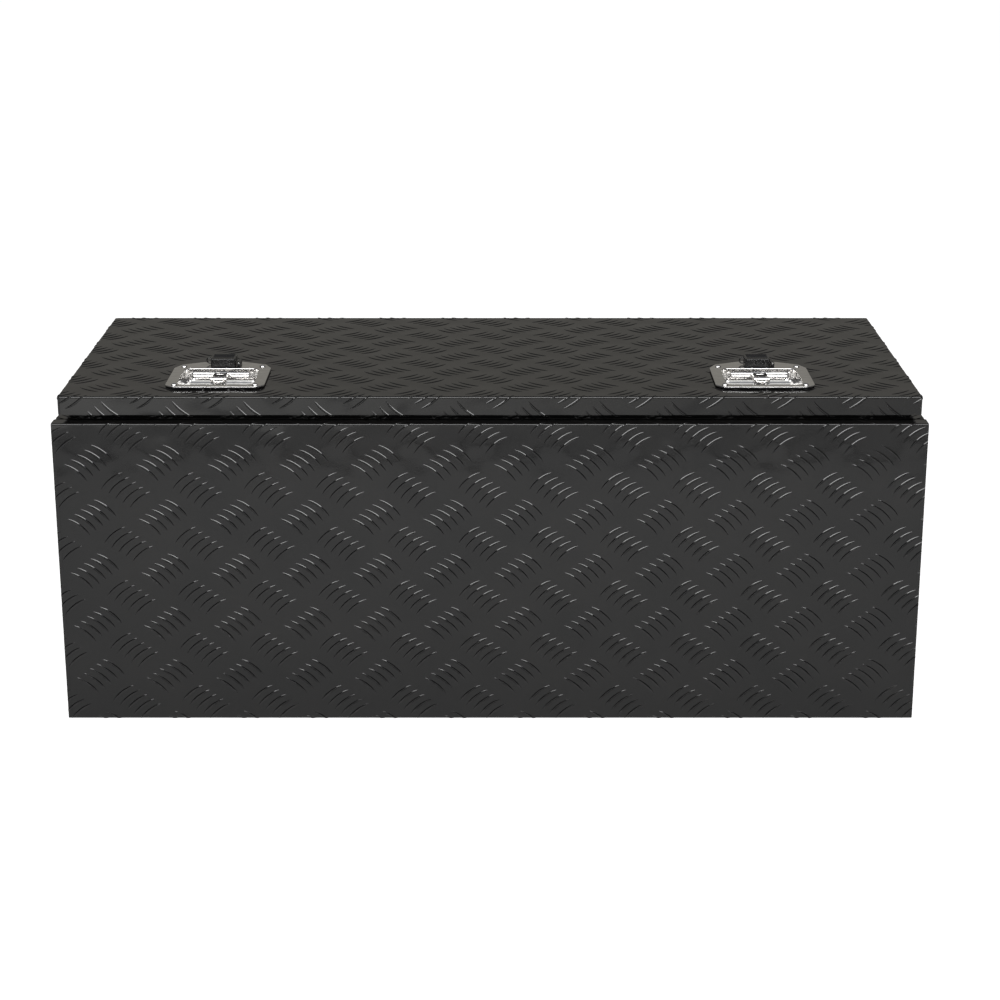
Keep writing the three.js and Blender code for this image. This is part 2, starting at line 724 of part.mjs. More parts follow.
// A stud through an eye: boss, pin and head, running inwards from `outerX`
function stud(side, outerX, middle) {
  const bossEnd = STRUT_X + STRUT_EYE_WIDTH / 2 + EAR_GAP;
  const headStart = STRUT_X - STRUT_EYE_WIDTH / 2 - EAR_GAP;
  const along = X_AXIS.clone().multiplyScalar(-side);
  const from = (x) => at(side * x, middle.y, middle.z);
  const boss = rod(STUD_BOSS_RADIUS, outerX - bossEnd, along, from(outerX), PLAIN_SIDES);
  const pin = rod(STUD_RADIUS, outerX - headStart, along, from(outerX), PLAIN_SIDES);
  const head = rod(STUD_HEAD_RADIUS, STUD_HEAD, along, from(headStart), PLAIN_SIDES);
  return joined(boss, pin, head);
}

function wallBracket(side) {
  const outerX = BODY_HALF_X - SHEET - SEAM_GAP;
  const plate = boxAt(
    BRACKET_SHEET,
    WALL_BRACKET_WIDTH,
    WALL_BRACKET_HEIGHT,
    side * (outerX - BRACKET_SHEET / 2),
    BODY_STUD.y,
    BODY_STUD.z,
  );
  return geometryOf(stud(side, outerX - BRACKET_SHEET / 2, BODY_STUD).add(solidOf(plate)));
}

function lidBracket(side) {
  const lugOuter = STRUT_X + STRUT_EYE_WIDTH / 2 + EAR_GAP + BRACKET_SHEET;
  const top = LID_UNDER - SEAM_GAP;
  const plate = boxAt(
    LID_BRACKET_WIDTH,
    LID_BRACKET_LENGTH,
    BRACKET_SHEET,
    side * (lugOuter - LID_BRACKET_WIDTH / 2),
    LID_STUD.y,
    top - BRACKET_SHEET / 2,
  );
  const lugHeight = top - LID_STUD.z;
  const lug = boxAt(
    BRACKET_SHEET,
    LID_LUG_LENGTH,
    lugHeight,
    side * (lugOuter - BRACKET_SHEET / 2),
    LID_STUD.y,
    top - lugHeight / 2,
  );
  const start = at(side * lugOuter, LID_STUD.y, LID_STUD.z);
  const inwards = X_AXIS.clone().multiplyScalar(-side);
  const lugEnd = rod(LID_LUG_LENGTH / 2, BRACKET_SHEET, inwards, start, PLAIN_SIDES);
  return geometryOf(stud(side, lugOuter, LID_STUD).add(joined(plate, lug, lugEnd)));
}

function addStrut(side, label) {
  const towardsLid = LID_STUD.clone().sub(BODY_STUD);
  const lean = Math.atan2(towardsLid.z, towardsLid.y);
  addPiece(chest, `strut_wall_bracket_${label}`, wallBracket(side), BRIGHT_ZINC);
  addPiece(chest, `strut_lid_bracket_${label}`, lidBracket(side), BRIGHT_ZINC);
  const tube = addPiece(chest, `strut_tube_${label}`, strutTube(), BLACK_STEEL);
  tube.position.set(side * STRUT_X, BODY_STUD.y, BODY_STUD.z);
  tube.rotation.x = lean;
  const strutRodMesh = addPiece(chest, `strut_rod_${label}`, strutRod(), POLISHED_STEEL);
  strutRodMesh.position.set(side * STRUT_X, LID_STUD.y, LID_STUD.z);
  strutRodMesh.rotation.x = lean + Math.PI;
}

// Latch: pieces drawn about the middle of the pan, with Z from the lid's top face

function plateOutline(inset) {
  const halfWidth = PLATE_WIDTH / 2 - inset;
  const front = inset - PLATE_FRONT;
  const rear = PLATE_REAR - inset;
  const halfRear = PLATE_REAR_WIDTH / 2 - inset;
  const shoulder = PLATE_SHOULDER - inset;
  const right = [
    [halfWidth - PLATE_FRONT_CUT, front, PLATE_CORNER],
    [halfWidth, front + PLATE_FRONT_CUT, PLATE_CORNER],
    [halfWidth, PLATE_SHOULDER - PLATE_SHOULDER_RUN, PLATE_CORNER],
    [halfWidth - PLATE_SHOULDER_CUT, shoulder, PLATE_CORNER],
    [halfRear, rear, PLATE_CORNER],
  ];
  const left = right.map(([x, y, radius]) => [-x, y, radius]).reverse();
  return roundedOutline([...right, ...left]);
}

// The pan's inside or outside surface: `grow` is nothing for the inside, the wall for the outside
function panBody(grow, rings) {
  const halfX = PAN_HALF_X + grow;
  const halfY = PAN_HALF_Y + grow;
  const corner = PAN_CORNER + grow;
  const fillet = quarterRound(PAN_FILLET).reverse().map(([inset, drop]) => ring(
    halfX - inset,
    halfY - inset,
    corner - inset,
    PAN_FLOOR - grow + PAN_FILLET - drop,
  ));
  const upper = rings.map(([spread, z]) => ring(halfX + spread, halfY + spread, corner + spread, z));
  return loft([...fillet, ...upper]);
}

function latchPlate() {
  const bottom = PLATE_TOP - PLATE;
  const plate = extruded(plateOutline(0), PLATE).translate(0, 0, bottom);
  const outside = panBody(PAN_WALL, [[0, bottom + PLATE / 2]]);
  const inside = panBody(0, [
    [0, PLATE_TOP - PAN_LIP],
    [PAN_LIP / 4, PLATE_TOP - PAN_LIP / 2],
    [PAN_LIP, PLATE_TOP],
    [PAN_LIP, PLATE_TOP + OVERRUN],
  ]);
  const below = PAN_FLOOR - PAN_WALL - OVERRUN;
  const depth = PAN_DROP + PAN_WALL + 2 * OVERRUN;
  const spindleHole = rod(SPINDLE_RADIUS + RUNNING_GAP, depth, Z_AXIS, at(0, 0, below), PLAIN_SIDES);
  const lockHole = rod(LOCK_RADIUS + SEAM_GAP, depth, Z_AXIS, at(0, LOCK_OFFSET, below), FINE_SIDES);
  const screwHoles = screwPlaces().map(([x, y]) =>
    rod(SCREW_RADIUS + SEAM_GAP, depth, Z_AXIS, at(x, y, below), SMALL_SIDES));
  return geometryOf(cut(joined(plate, outside), inside, spindleHole, lockHole, ...screwHoles));
}

function latchGasket() {
  const sheet = extruded(plateOutline(SEAM_GAP), GASKET).translate(0, 0, SEAM_GAP);
  const halfX = PAN_HALF_X + PAN_WALL + SEAM_GAP;
  const halfY = PAN_HALF_Y + PAN_WALL + SEAM_GAP;
  const corner = PAN_CORNER + PAN_WALL + SEAM_GAP;
  const top = GASKET + OVERRUN;
  const window = loft([ring(halfX, halfY, corner, -OVERRUN), ring(halfX, halfY, corner, top)]);
  const depth = GASKET + 2 * OVERRUN;
  const lockHole = rod(LOCK_RADIUS + SEAM_GAP, depth, Z_AXIS, at(0, LOCK_OFFSET, -OVERRUN), FINE_SIDES);
  const screwHoles = screwPlaces().map(([x, y]) =>
    rod(SCREW_RADIUS + SEAM_GAP, depth, Z_AXIS, at(x, y, -OVERRUN), SMALL_SIDES));
  return geometryOf(cut(solidOf(sheet), window, lockHole, ...screwHoles));
}

// Dome head on the plate, and a shank through plate, gasket and lid
function latchScrew() {
  const seat = PLATE_TOP + SEAM_GAP;
  const tail = -SHEET - SCREW_TAIL;
  const dome = Array.from({ length: FILLET_STEPS + 1 }, (unused, step) => {
    const angle = RIGHT_ANGLE * step / FILLET_STEPS;
    return new THREE.Vector2(SCREW_HEAD_RADIUS * Math.cos(angle), seat + SCREW_HEAD * Math.sin(angle));
  });
  dome.at(-1).x = 0;
  const profile = [
    new THREE.Vector2(0, tail),
    new THREE.Vector2(SCREW_RADIUS, tail),
    new THREE.Vector2(SCREW_RADIUS, seat),
    ...dome,
  ];
  return new THREE.LatheGeometry(profile, SMALL_SIDES).rotateX(RIGHT_ANGLE);
}

// Hub in the pan with two ears for the handle, and the spindle below it
function latchHub() {
  const base = PAN_FLOOR + SEAM_GAP;
  const top = PLATE_TOP - HUB_TOP_DROP - STEM_EYE_RADIUS;
  const tail = TONGUE_TOP - TONGUE - SEAM_GAP - NUT_HEIGHT - SPINDLE_TAIL + OVERRUN;
  const hub = rod(HUB_RADIUS, top - base, Z_AXIS, at(0, 0, base), FINE_SIDES);
  const spindleEnd = TONGUE_TOP + SEAM_GAP;
  const spindle = rod(SPINDLE_RADIUS, top - spindleEnd, Z_AXIS, at(0, 0, spindleEnd), PLAIN_SIDES);
  const thread = rod(SPINDLE_THREAD_RADIUS, top - tail, Z_AXIS, at(0, 0, tail), PLAIN_SIDES);
  const earMiddle = STEM_WIDTH / 2 + EAR_GAP + EAR_THICKNESS / 2;
  const ears = [-1, 1].flatMap((side) => {
    const height = PIVOT_Z - top + SEAM_GAP;
    const start = at(side * earMiddle - EAR_THICKNESS / 2, 0, PIVOT_Z);
    const bottom = PIVOT_Z - height / 2;
    return [
      boxAt(EAR_THICKNESS, 2 * EAR_RADIUS, height, side * earMiddle, 0, bottom),
      rod(EAR_RADIUS, EAR_THICKNESS, X_AXIS, start, PLAIN_SIDES),
    ];
  });
  const boreLength = 2 * (earMiddle + EAR_THICKNESS);
  const bore = rod(
    HANDLE_PIN_RADIUS + RUNNING_GAP / 2,
    boreLength,
    X_AXIS,
    at(-boreLength / 2, 0, PIVOT_Z),
    SMALL_SIDES,
  );
  return geometryOf(cut(joined(hub, spindle, thread, ...ears), bore));
}

function handlePin() {
  const length = STEM_WIDTH + 2 * (EAR_GAP + EAR_THICKNESS);
  return rod(HANDLE_PIN_RADIUS, length, X_AXIS, at(-length / 2, 0, PIVOT_Z), SMALL_SIDES);
}

// Folded handle: its round-ended grip lies across the rear of the pan
function tHandle() {
  const straight = GRIP_LENGTH - 2 * GRIP_RADIUS;
  const grip = new THREE.CapsuleGeometry(GRIP_RADIUS, straight, FILLET_STEPS + 1, PLAIN_SIDES);
  grip.rotateZ(RIGHT_ANGLE).translate(0, HANDLE_REACH, PIVOT_Z);
  const stem = boxAt(STEM_WIDTH, HANDLE_REACH, STEM_THICKNESS, 0, HANDLE_REACH / 2, PIVOT_Z);
  const eyeStart = at(-STEM_WIDTH / 2, 0, PIVOT_Z);
  const eye = rod(STEM_EYE_RADIUS, STEM_WIDTH, X_AXIS, eyeStart, PLAIN_SIDES);
  const sleeveStart = at(-STEM_WIDTH / 2, HANDLE_REACH, PIVOT_Z);
  const sleeve = rod(GRIP_RADIUS + SEAM_GAP, STEM_WIDTH, X_AXIS, sleeveStart, PLAIN_SIDES);
  const boreStart = at(-STEM_WIDTH / 2 - OVERRUN, 0, PIVOT_Z);
  const boreLength = STEM_WIDTH + 2 * OVERRUN;
  const bore = rod(HANDLE_PIN_RADIUS + RUNNING_GAP, boreLength, X_AXIS, boreStart, SMALL_SIDES);
  return geometryOf(cut(joined(grip, stem, eye, sleeve), bore));
}

// Tongue on the spindle, parked towards the middle of the chest
function latchTongue(side) {
  const middle = TONGUE_TOP - TONGUE / 2;
  const half = TONGUE_WIDTH / 2;
  const arm = boxAt(TONGUE_REACH, TONGUE_WIDTH, TONGUE, -side * TONGUE_REACH / 2, 0, middle);
  const end = rod(half, TONGUE, Z_AXIS, at(0, 0, TONGUE_TOP - TONGUE), PLAIN_SIDES);
  const below = TONGUE_TOP - TONGUE - OVERRUN;
  const bore = rod(
    SPINDLE_THREAD_RADIUS + RUNNING_GAP,
    TONGUE + 2 * OVERRUN,
    Z_AXIS,
    at(0, 0, below),
    PLAIN_SIDES,
  );
  return geometryOf(cut(joined(arm, end), bore));
}

// Hexagon nut with a bore, standing on `bottom`
function nut(radius, bore, height, y, bottom, boreSides) {
  const body = rod(radius, height, Z_AXIS, at(0, y, bottom), HEX_SIDES);
  const hole = rod(bore, height + 2 * OVERRUN, Z_AXIS, at(0, y, bottom - OVERRUN), boreSides);
  return geometryOf(cut(solidOf(body), hole));
}

function tongueNut() {
  const bottom = TONGUE_TOP - TONGUE - SEAM_GAP - NUT_HEIGHT;
  const bore = SPINDLE_THREAD_RADIUS + RUNNING_GAP;
  return nut(NUT_RADIUS, bore, NUT_HEIGHT, 0, bottom, PLAIN_SIDES);
}

const LOCK_SEAT = PLATE_TOP + SEAM_GAP;
const LOCK_BOTTOM = LOCK_SEAT - LOCK_LENGTH;

function lockBarrel() {
  const body = rod(LOCK_RADIUS, LOCK_LENGTH, Z_AXIS, at(0, LOCK_OFFSET, LOCK_BOTTOM), FINE_SIDES);
  const flange = rod(LOCK_FLANGE_RADIUS, LOCK_FLANGE, Z_AXIS, at(0, LOCK_OFFSET, LOCK_SEAT), FINE_SIDES);
  const below = LOCK_BOTTOM - OVERRUN;
  const depth = LOCK_LENGTH + LOCK_FLANGE + 2 * OVERRUN;
  const bore = rod(PLUG_RADIUS + RUNNING_GAP, depth, Z_AXIS, at(0, LOCK_OFFSET, below), PLAIN_SIDES);
  return geometryOf(cut(joined(body, flange), bore));
}

// Plug with its key slot, flush with the barrel's face
function lockPlug() {
  const bottom = LOCK_BOTTOM - SEAM_GAP - CAM;
  const top = LOCK_SEAT + LOCK_FLANGE;
  const body = rod(PLUG_RADIUS, top - bottom, Z_AXIS, at(0, LOCK_OFFSET, bottom), PLAIN_SIDES);
  const keyway = boxAt(KEYWAY_WIDTH, KEYWAY_LENGTH, 2 * KEYWAY_DEPTH, 0, LOCK_OFFSET, top);
  return geometryOf(cut(solidOf(body), keyway));
}

// Cam on the plug's lower end, parked outwards, clear of the spindle
function lockCam(side) {
  const top = LOCK_BOTTOM - SEAM_GAP;
  const arm = boxAt(
    CAM_REACH,
    CAM_WIDTH,
    CAM,
    side * CAM_REACH / 2,
    LOCK_OFFSET,
    top - CAM / 2,
  );
  const end = rod(CAM_WIDTH / 2 + OVERRUN, CAM, Z_AXIS, at(0, LOCK_OFFSET, top - CAM), PLAIN_SIDES);
  const bore = rod(
    PLUG_RADIUS + RUNNING_GAP / 2,
    CAM + 2 * OVERRUN,
    Z_AXIS,
    at(0, LOCK_OFFSET, top - CAM - OVERRUN),
    PLAIN_SIDES,
  );
  return geometryOf(cut(joined(arm, end), bore));
}

function lockNut() {
  const bottom = -SHEET - SEAM_GAP - LOCK_NUT_HEIGHT;
  const bore = LOCK_RADIUS + RUNNING_GAP;
  return nut(LOCK_NUT_RADIUS, bore, LOCK_NUT_HEIGHT, LOCK_OFFSET, bottom, FINE_SIDES);
}

// Weather cap: soft block over the lock, a hinge knuckle on its right and a pull ring on its left
const CAP_SEAT = PLATE_TOP + SEAM_GAP;
const CAP_HOLLOW = LOCK_FLANGE_RADIUS + CAP_TO_LOCK;
const CAP_HALF_X = CAP_HOLLOW + CAP_SIDE_WALL;
const CAP_HALF_Y = CAP_HOLLOW + CAP_END_WALL;
const CAP_PIVOT_X = CAP_HALF_X + CAP_HINGE_OUT;
const CAP_PIVOT_Z = CAP_SEAT + CAP_BASE + SEAM_GAP + CAP_KNUCKLE_RADIUS;

function weatherCap() {
  const shoulder = CAP_SEAT + CAP_HEIGHT - CAP_EDGE;
  const edges = quarterRound(CAP_EDGE).map(([inset, rise]) => ring(
    CAP_HALF_X - inset,
    CAP_HALF_Y - inset,
    CAP_CORNER - inset,
    shoulder + rise,
  ));
  const block = loft([ring(CAP_HALF_X, CAP_HALF_Y, CAP_CORNER, CAP_SEAT), ...edges]);
  const hollowTop = CAP_SEAT + CAP_HEIGHT - CAP_ROOF;
  const hollow = loft([
    ring(CAP_HOLLOW, CAP_HOLLOW, CAP_CORNER, CAP_SEAT - OVERRUN),
    ring(CAP_HOLLOW, CAP_HOLLOW, CAP_CORNER, hollowTop),
  ]);
  const knuckleStart = at(CAP_PIVOT_X, -CAP_KNUCKLE_LENGTH / 2, CAP_PIVOT_Z);
  const knuckle = rod(CAP_KNUCKLE_RADIUS, CAP_KNUCKLE_LENGTH, Y_AXIS, knuckleStart, SMALL_SIDES);
  const bridge = boxAt(
    CAP_HINGE_OUT + CAP_EDGE,
    CAP_KNUCKLE_LENGTH,
    CAP_KNUCKLE_RADIUS,
    CAP_PIVOT_X - (CAP_HINGE_OUT + CAP_EDGE) / 2,
    0,
    CAP_PIVOT_Z + CAP_KNUCKLE_RADIUS / 2,
  );
  const ringX = -CAP_HALF_X - RING_REACH;
  const ringZ = CAP_SEAT + CAP_HEIGHT / 2;
  const ringStart = at(ringX, -RING_WIRE / 2, ringZ);
  const loop = rod(RING_RADIUS, RING_WIRE, Y_AXIS, ringStart, PLAIN_SIDES);
  const loopHoleStart = at(ringX, -RING_WIRE, ringZ);
  const loopHole = rod(RING_RADIUS - RING_WIRE, 2 * RING_WIRE, Y_AXIS, loopHoleStart, PLAIN_SIDES);
  const boreLength = CAP_KNUCKLE_LENGTH + 2 * OVERRUN;
  const boreStart = at(CAP_PIVOT_X, -boreLength / 2, CAP_PIVOT_Z);
  const bore = rod(CAP_PIN_RADIUS + RUNNING_GAP, boreLength, Y_AXIS, boreStart, SMALL_SIDES);
  const tab = cut(solidOf(loop), loopHole);
  const shell = cut(solidOf(block), hollow).add(tab).add(joined(knuckle, bridge));
  return geometryOf(cut(shell, bore).translate(0, LOCK_OFFSET, 0));
}

// Ears that carry the cap's pin, on a small foot
function capHingeBlock() {
  const radius = CAP_KNUCKLE_RADIUS;
  const halfSpan = CAP_KNUCKLE_LENGTH / 2 + EAR_GAP + CAP_EAR;
  const foot = boxAt(2 * radius, 2 * halfSpan, CAP_BASE, CAP_PIVOT_X, 0, CAP_SEAT + CAP_BASE / 2);
  const boreStart = at(CAP_PIVOT_X, -halfSpan - OVERRUN, CAP_PIVOT_Z);
  const boreRadius = CAP_PIN_RADIUS + RUNNING_GAP / 2;
  const bore = rod(boreRadius, 2 * (halfSpan + OVERRUN), Y_AXIS, boreStart, SMALL_SIDES);
  const ears = [-1, 1].flatMap((end) => {
    const middle = end * (halfSpan - CAP_EAR / 2);
    const height = CAP_PIVOT_Z - CAP_SEAT;
    return [
      boxAt(2 * radius, CAP_EAR, height, CAP_PIVOT_X, middle, CAP_SEAT + height / 2),
      rod(radius, CAP_EAR, Y_AXIS, at(CAP_PIVOT_X, middle - CAP_EAR / 2, CAP_PIVOT_Z), SMALL_SIDES),
    ];
  });
  return geometryOf(cut(joined(foot, ...ears), bore).translate(0, LOCK_OFFSET, 0));
}

function capPin() {
  const half = CAP_KNUCKLE_LENGTH / 2 + EAR_GAP + CAP_EAR;
  const start = at(CAP_PIVOT_X, LOCK_OFFSET - half, CAP_PIVOT_Z);
  return rod(CAP_PIN_RADIUS, 2 * half, Y_AXIS, start, SMALL_SIDES);
}

function addLatch(side, label) {
  const latch = new THREE.Group();
  latch.position.set(side * LATCH_X, LATCH_Y, LID_TOP);
  chest.add(latch);
  const add = (name, geometry, material) => addPiece(latch, `${name}_${label}`, geometry, material);
  add('latch_gasket', latchGasket(), BLACK_RUBBER);
  add('latch_plate', latchPlate(), POLISHED_STEEL);
  add('latch_hub', latchHub(), POLISHED_STEEL);
  add('handle_pin', handlePin(), POLISHED_STEEL);
  add('t_handle', tHandle(), POLISHED_STEEL);
  add('latch_tongue', latchTongue(side), BRIGHT_ZINC);
  add('tongue_nut', tongueNut(), BRIGHT_ZINC);
  add('lock_barrel', lockBarrel(), POLISHED_STEEL);
  add('lock_plug', lockPlug(), BRASS);
  add('lock_cam', lockCam(side), BRIGHT_ZINC);
  add('lock_nut', lockNut(), BRIGHT_ZINC);
  add('weather_cap', weatherCap(), BLACK_RUBBER);
  add('cap_hinge_block', capHingeBlock(), BLACK_RUBBER);
  add('cap_pin', capPin(), POLISHED_STEEL);
  screwPlaces().forEach(([x, y], index) => {
    const screw = add(`latch_screw_${index + 1}`, latchScrew(), POLISHED_STEEL);
    screw.position.set(x, y, 0);
  });
}

// Assembly
addPiece(chest, 'body_wrap', bodyWrap(), POWDER_COAT);
addPiece(chest, 'left_end_panel', endPanel(-1), POWDER_COAT);
addPiece(chest, 'right_end_panel', endPanel(1), POWDER_COAT);
addPiece(chest, 'rim_seal', rimSeal(), BLACK_RUBBER);
addPiece(chest, 'lid_skin', lidSkin(), POWDER_COAT);
['left', 'middle', 'right'].forEach((label, index) => {
  const stiffener = addPiece(chest, `lid_stiffener_${label}`, lidStiffener(), POWDER_COAT);
  stiffener.position.x = (index - 1) * (LATCH_X - HAT_TO_LATCH);
});
addPiece(chest, 'hinge_body_leaf', hingeLeaf(bodyLeafPlate(), true), POLISHED_STEEL);
addPiece(chest, 'hinge_lid_leaf', hingeLeaf(lidLeafPlate(), false), POLISHED_STEEL);
addPiece(chest, 'hinge_pin', hingePin(), POLISHED_STEEL);
addStrut(-1, 'left');
addStrut(1, 'right');
addLatch(-1, 'left');
addLatch(1, 'right');

export default chest;
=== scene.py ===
# Tread-plate tool chest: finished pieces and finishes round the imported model, in metres.
# X runs along the chest, -Y is its front and +Z is up.

import math

import bmesh
import bpy
from mathutils import Matrix, Vector

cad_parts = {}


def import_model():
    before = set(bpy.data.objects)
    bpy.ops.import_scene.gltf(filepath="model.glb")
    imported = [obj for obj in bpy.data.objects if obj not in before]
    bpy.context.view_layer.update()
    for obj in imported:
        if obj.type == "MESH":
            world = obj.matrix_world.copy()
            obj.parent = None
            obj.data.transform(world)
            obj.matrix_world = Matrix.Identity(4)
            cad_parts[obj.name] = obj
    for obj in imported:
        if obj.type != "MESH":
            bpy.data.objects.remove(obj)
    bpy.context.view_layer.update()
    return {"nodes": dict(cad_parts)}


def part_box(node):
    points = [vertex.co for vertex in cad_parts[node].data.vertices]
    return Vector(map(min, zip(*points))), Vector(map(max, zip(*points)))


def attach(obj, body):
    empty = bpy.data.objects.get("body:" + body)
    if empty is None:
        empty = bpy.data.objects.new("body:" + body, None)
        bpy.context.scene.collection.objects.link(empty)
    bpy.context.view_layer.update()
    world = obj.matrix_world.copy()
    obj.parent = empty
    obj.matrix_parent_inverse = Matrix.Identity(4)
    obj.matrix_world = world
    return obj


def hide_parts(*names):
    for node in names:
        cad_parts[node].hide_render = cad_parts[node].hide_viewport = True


MM = 0.001
SIDES = {"left": -1, "right": 1}
DOWN, UP = -1, 1

# Sheet: the model's 3 mm is a plate with tread bars standing on it
SHEET = 3 * MM
PLATE = 2.2 * MM
BAR_HEIGHT = 0.8 * MM
FOLD_INSIDE = 0.3 * MM
SEAM_GAP = 0.3 * MM
BODY_HALF_X = 610 * MM
BODY_HALF_Y = 241 * MM
BODY_HEIGHT = 446 * MM
LEDGE_WIDTH = 26 * MM
UPSTAND_TOP = 468 * MM
LID_HALF_X = 602 * MM
LID_HALF_Y = 233 * MM
LID_TOP = 483 * MM
SKIRT_BOTTOM = 456 * MM
LID_CORNER = 5 * MM
LID_CORNER_STEPS = 6
LID_FOLD = FOLD_INSIDE + PLATE
FOLD_STEPS = 6
EDGE_STRIP = 0.6 * MM
TINY = 1e-6
TOUCHING = 1e-7

# Five-bar tread pattern
CELL_ALONG = 100 * MM
CELL_ACROSS = 80.5 * MM
LID_CELL = (98.95 * MM, 84 * MM)
BAR_LENGTH = 38 * MM
BAR_WIDTH = 3.7 * MM
BAR_SPACING = 11.9 * MM
BAR_BOW = 2.8 * MM
BAR_ROOT = 0.35 * MM
BAR_LEAN = math.radians(39)
ROW_LEAN = math.radians(36.6)
BARS_IN_GROUP = 5
SWELL = 0.14 * MM

# A bar's section as shares of its width and height, below zero of its root, and its tips' size
BAR_SECTION = ((-0.5, -1.0), (-0.46, 0.0), (-0.26, 0.66), (-0.08, 1.0),
               (0.08, 1.0), (0.26, 0.66), (0.46, 0.0), (0.5, -1.0))
BAR_TIP = 0.25
BAR_TAPER = 3.0
BAR_RINGS = 9
BAR_SMOOTH = 9
BEND_CUTS = 3
EDGE_CELLS = 3.0
SPARE_CELLS = 40
FRONT_PHASE = Vector((-160 * MM, 307.7 * MM))
LID_PHASE = Vector((-148.7 * MM, -96 * MM))

# Latch, drawn about the middle of its pan with heights from the lid's top face
LATCH_X = 388 * MM
LATCH_Y = -139.6 * MM
PLATE_TOP = 3.3 * MM
LATCH_PLATE = 1.5 * MM
PLATE_HALF_X = 70 * MM
PLATE_FRONT = 56 * MM
PLATE_FRONT_CUT = 11 * MM
PLATE_SIDE_END = 47 * MM
PLATE_SHOULDER = 66 * MM
PLATE_SHOULDER_CUT = 9 * MM
PLATE_REAR = 84 * MM
PLATE_REAR_HALF = 22 * MM
PLATE_CORNER = 5 * MM
PLATE_FRONT_CORNER = 13 * MM
PLATE_EDGE = 0.6 * MM
PAN_HALF_X = 54 * MM
PAN_HALF_Y = 44 * MM
PAN_CORNER = 12 * MM
PAN_DROP = 22 * MM
PAN_WALL = 1.2 * MM
PAN_LIP = 1.2 * MM
PAN_FILLET = 11 * MM
PAN_CUT_GAP = 1.5 * MM
FILLET_STEPS = 8
LIP_STEPS = 6
RIM_STEPS = 4
SCREW_PLACES = [Vector((x * MM, y * MM)) for y in (-45, 55) for x in (-57, 57)]
SCREW_HOLE_RADIUS = 2.5 * MM
SCREW_SIDES = 14
LOCK_OFFSET = 65 * MM
LOCK_HOLE_RADIUS = 9.3 * MM
LOCK_SIDES = 32

# Lid seats under the latch plates, half width and the span in Y
SEATS = ((60 * MM, (-51 * MM, 60 * MM)), (12 * MM, (60 * MM, 77 * MM)))

# Handle, hub and spindle
PIVOT_DROP = 5 * MM
HANDLE_REACH = 29 * MM
GRIP_RADIUS = 4.2 * MM
GRIP_HALF = 42.5 * MM
SLEEVE_RADIUS = 4.5 * MM
STEM_HALF = 7 * MM
STEM_THICK = 6 * MM
STEM_CLEAR = 3 * MM
YOKE_HALF = 10 * MM
YOKE_START = 9 * MM
YOKE_REAR = 25 * MM
SLOT_HALF_X = 6 * MM
SLOT_HALF_Y = 2.2 * MM
SLOT_MIDDLE = 18 * MM
EYE_RADIUS = 4.5 * MM
PIN_BORE_RADIUS = 2.3 * MM
EAR_BORE_RADIUS = 2.15 * MM
EAR_THICK = 4 * MM
EAR_GAP = 0.5 * MM
RIM = 0.8 * MM
HUB_RADIUS = 12 * MM
HUB_TOP_DROP = 7.5 * MM
SPINDLE_RADIUS = 6 * MM
SPINDLE_HOLE_RADIUS = 6.3 * MM
SPINDLE_STEP = -41.7 * MM
SPINDLE_END = -57.3 * MM
THREAD_RADIUS = 4 * MM
THREAD_PITCH = 1.25 * MM
THREAD_DEPTH = 0.5 * MM
TURNED_SIDES = 40
GRIP_SIDES = 28
EYE_SIDES = 24
EAR_STEPS = 14
EAR_BORE_SIDES = 16

# Weather cap over the lock
CAP_HALF_X = 18 * MM
CAP_HALF_Y = 15.5 * MM
CAP_HEIGHT = 12 * MM
CAP_CORNER = 3 * MM
CAP_EDGE = 1.5 * MM
CAP_RIM = 1.0 * MM
CAP_DISH = 0.4 * MM
CAP_HOLLOW = 13 * MM
CAP_ROOF = 3 * MM
CAP_HINGE_OUT = 4.4 * MM
CAP_BASE = 1 * MM
CAP_KNUCKLE = 2.6 * MM
CAP_KNUCKLE_LENGTH = 12 * MM
CAP_BORE = 1.4 * MM
RING_RADIUS = 5 * MM
RING_WIRE = 2 * MM
RING_REACH = 3 * MM
WIRE_SIDES = 12
KNUCKLE_SIDES = 20

# Dome heads: radius and height of the head, radius and length of the shank
SCREW_HEAD = (4.6 * MM, 2.2 * MM, 2.2 * MM, 10.6 * MM)
RIVET_HEAD = (3 * MM, 1.1 * MM, 1.5 * MM, 1.5 * MM)
BRACKET_HEAD = (3.4 * MM, 2 * MM, 1.7 * MM, 3 * MM)
WELD_DOME = (3.4 * MM, 3 * MM, 0.85 * MM, 0.85 * MM)

# Hinge rivets, bracket screws and welds
RIVETS = 23
RIVET_STEP = 50 * MM
RIVET_Z = 469 * MM
LEAF_INNER_Y = 228.2 * MM
FOOT_RIVET_Y = 227.4 * MM
FOOT_TOP_Z = 447.8 * MM
BRACKET_SHEET = 3 * MM
WALL_SCREWS_HIGH = 44 * MM
WALL_SCREWS_WIDE = 30 * MM
LID_SCREWS_IN = 7 * MM
LID_SCREWS_APART = 32 * MM
WELD_MARGIN = 8 * MM
WELD_STEP = 2.6 * MM
WELD_SIDES = 8.0
WELD_STEPS = 6.0

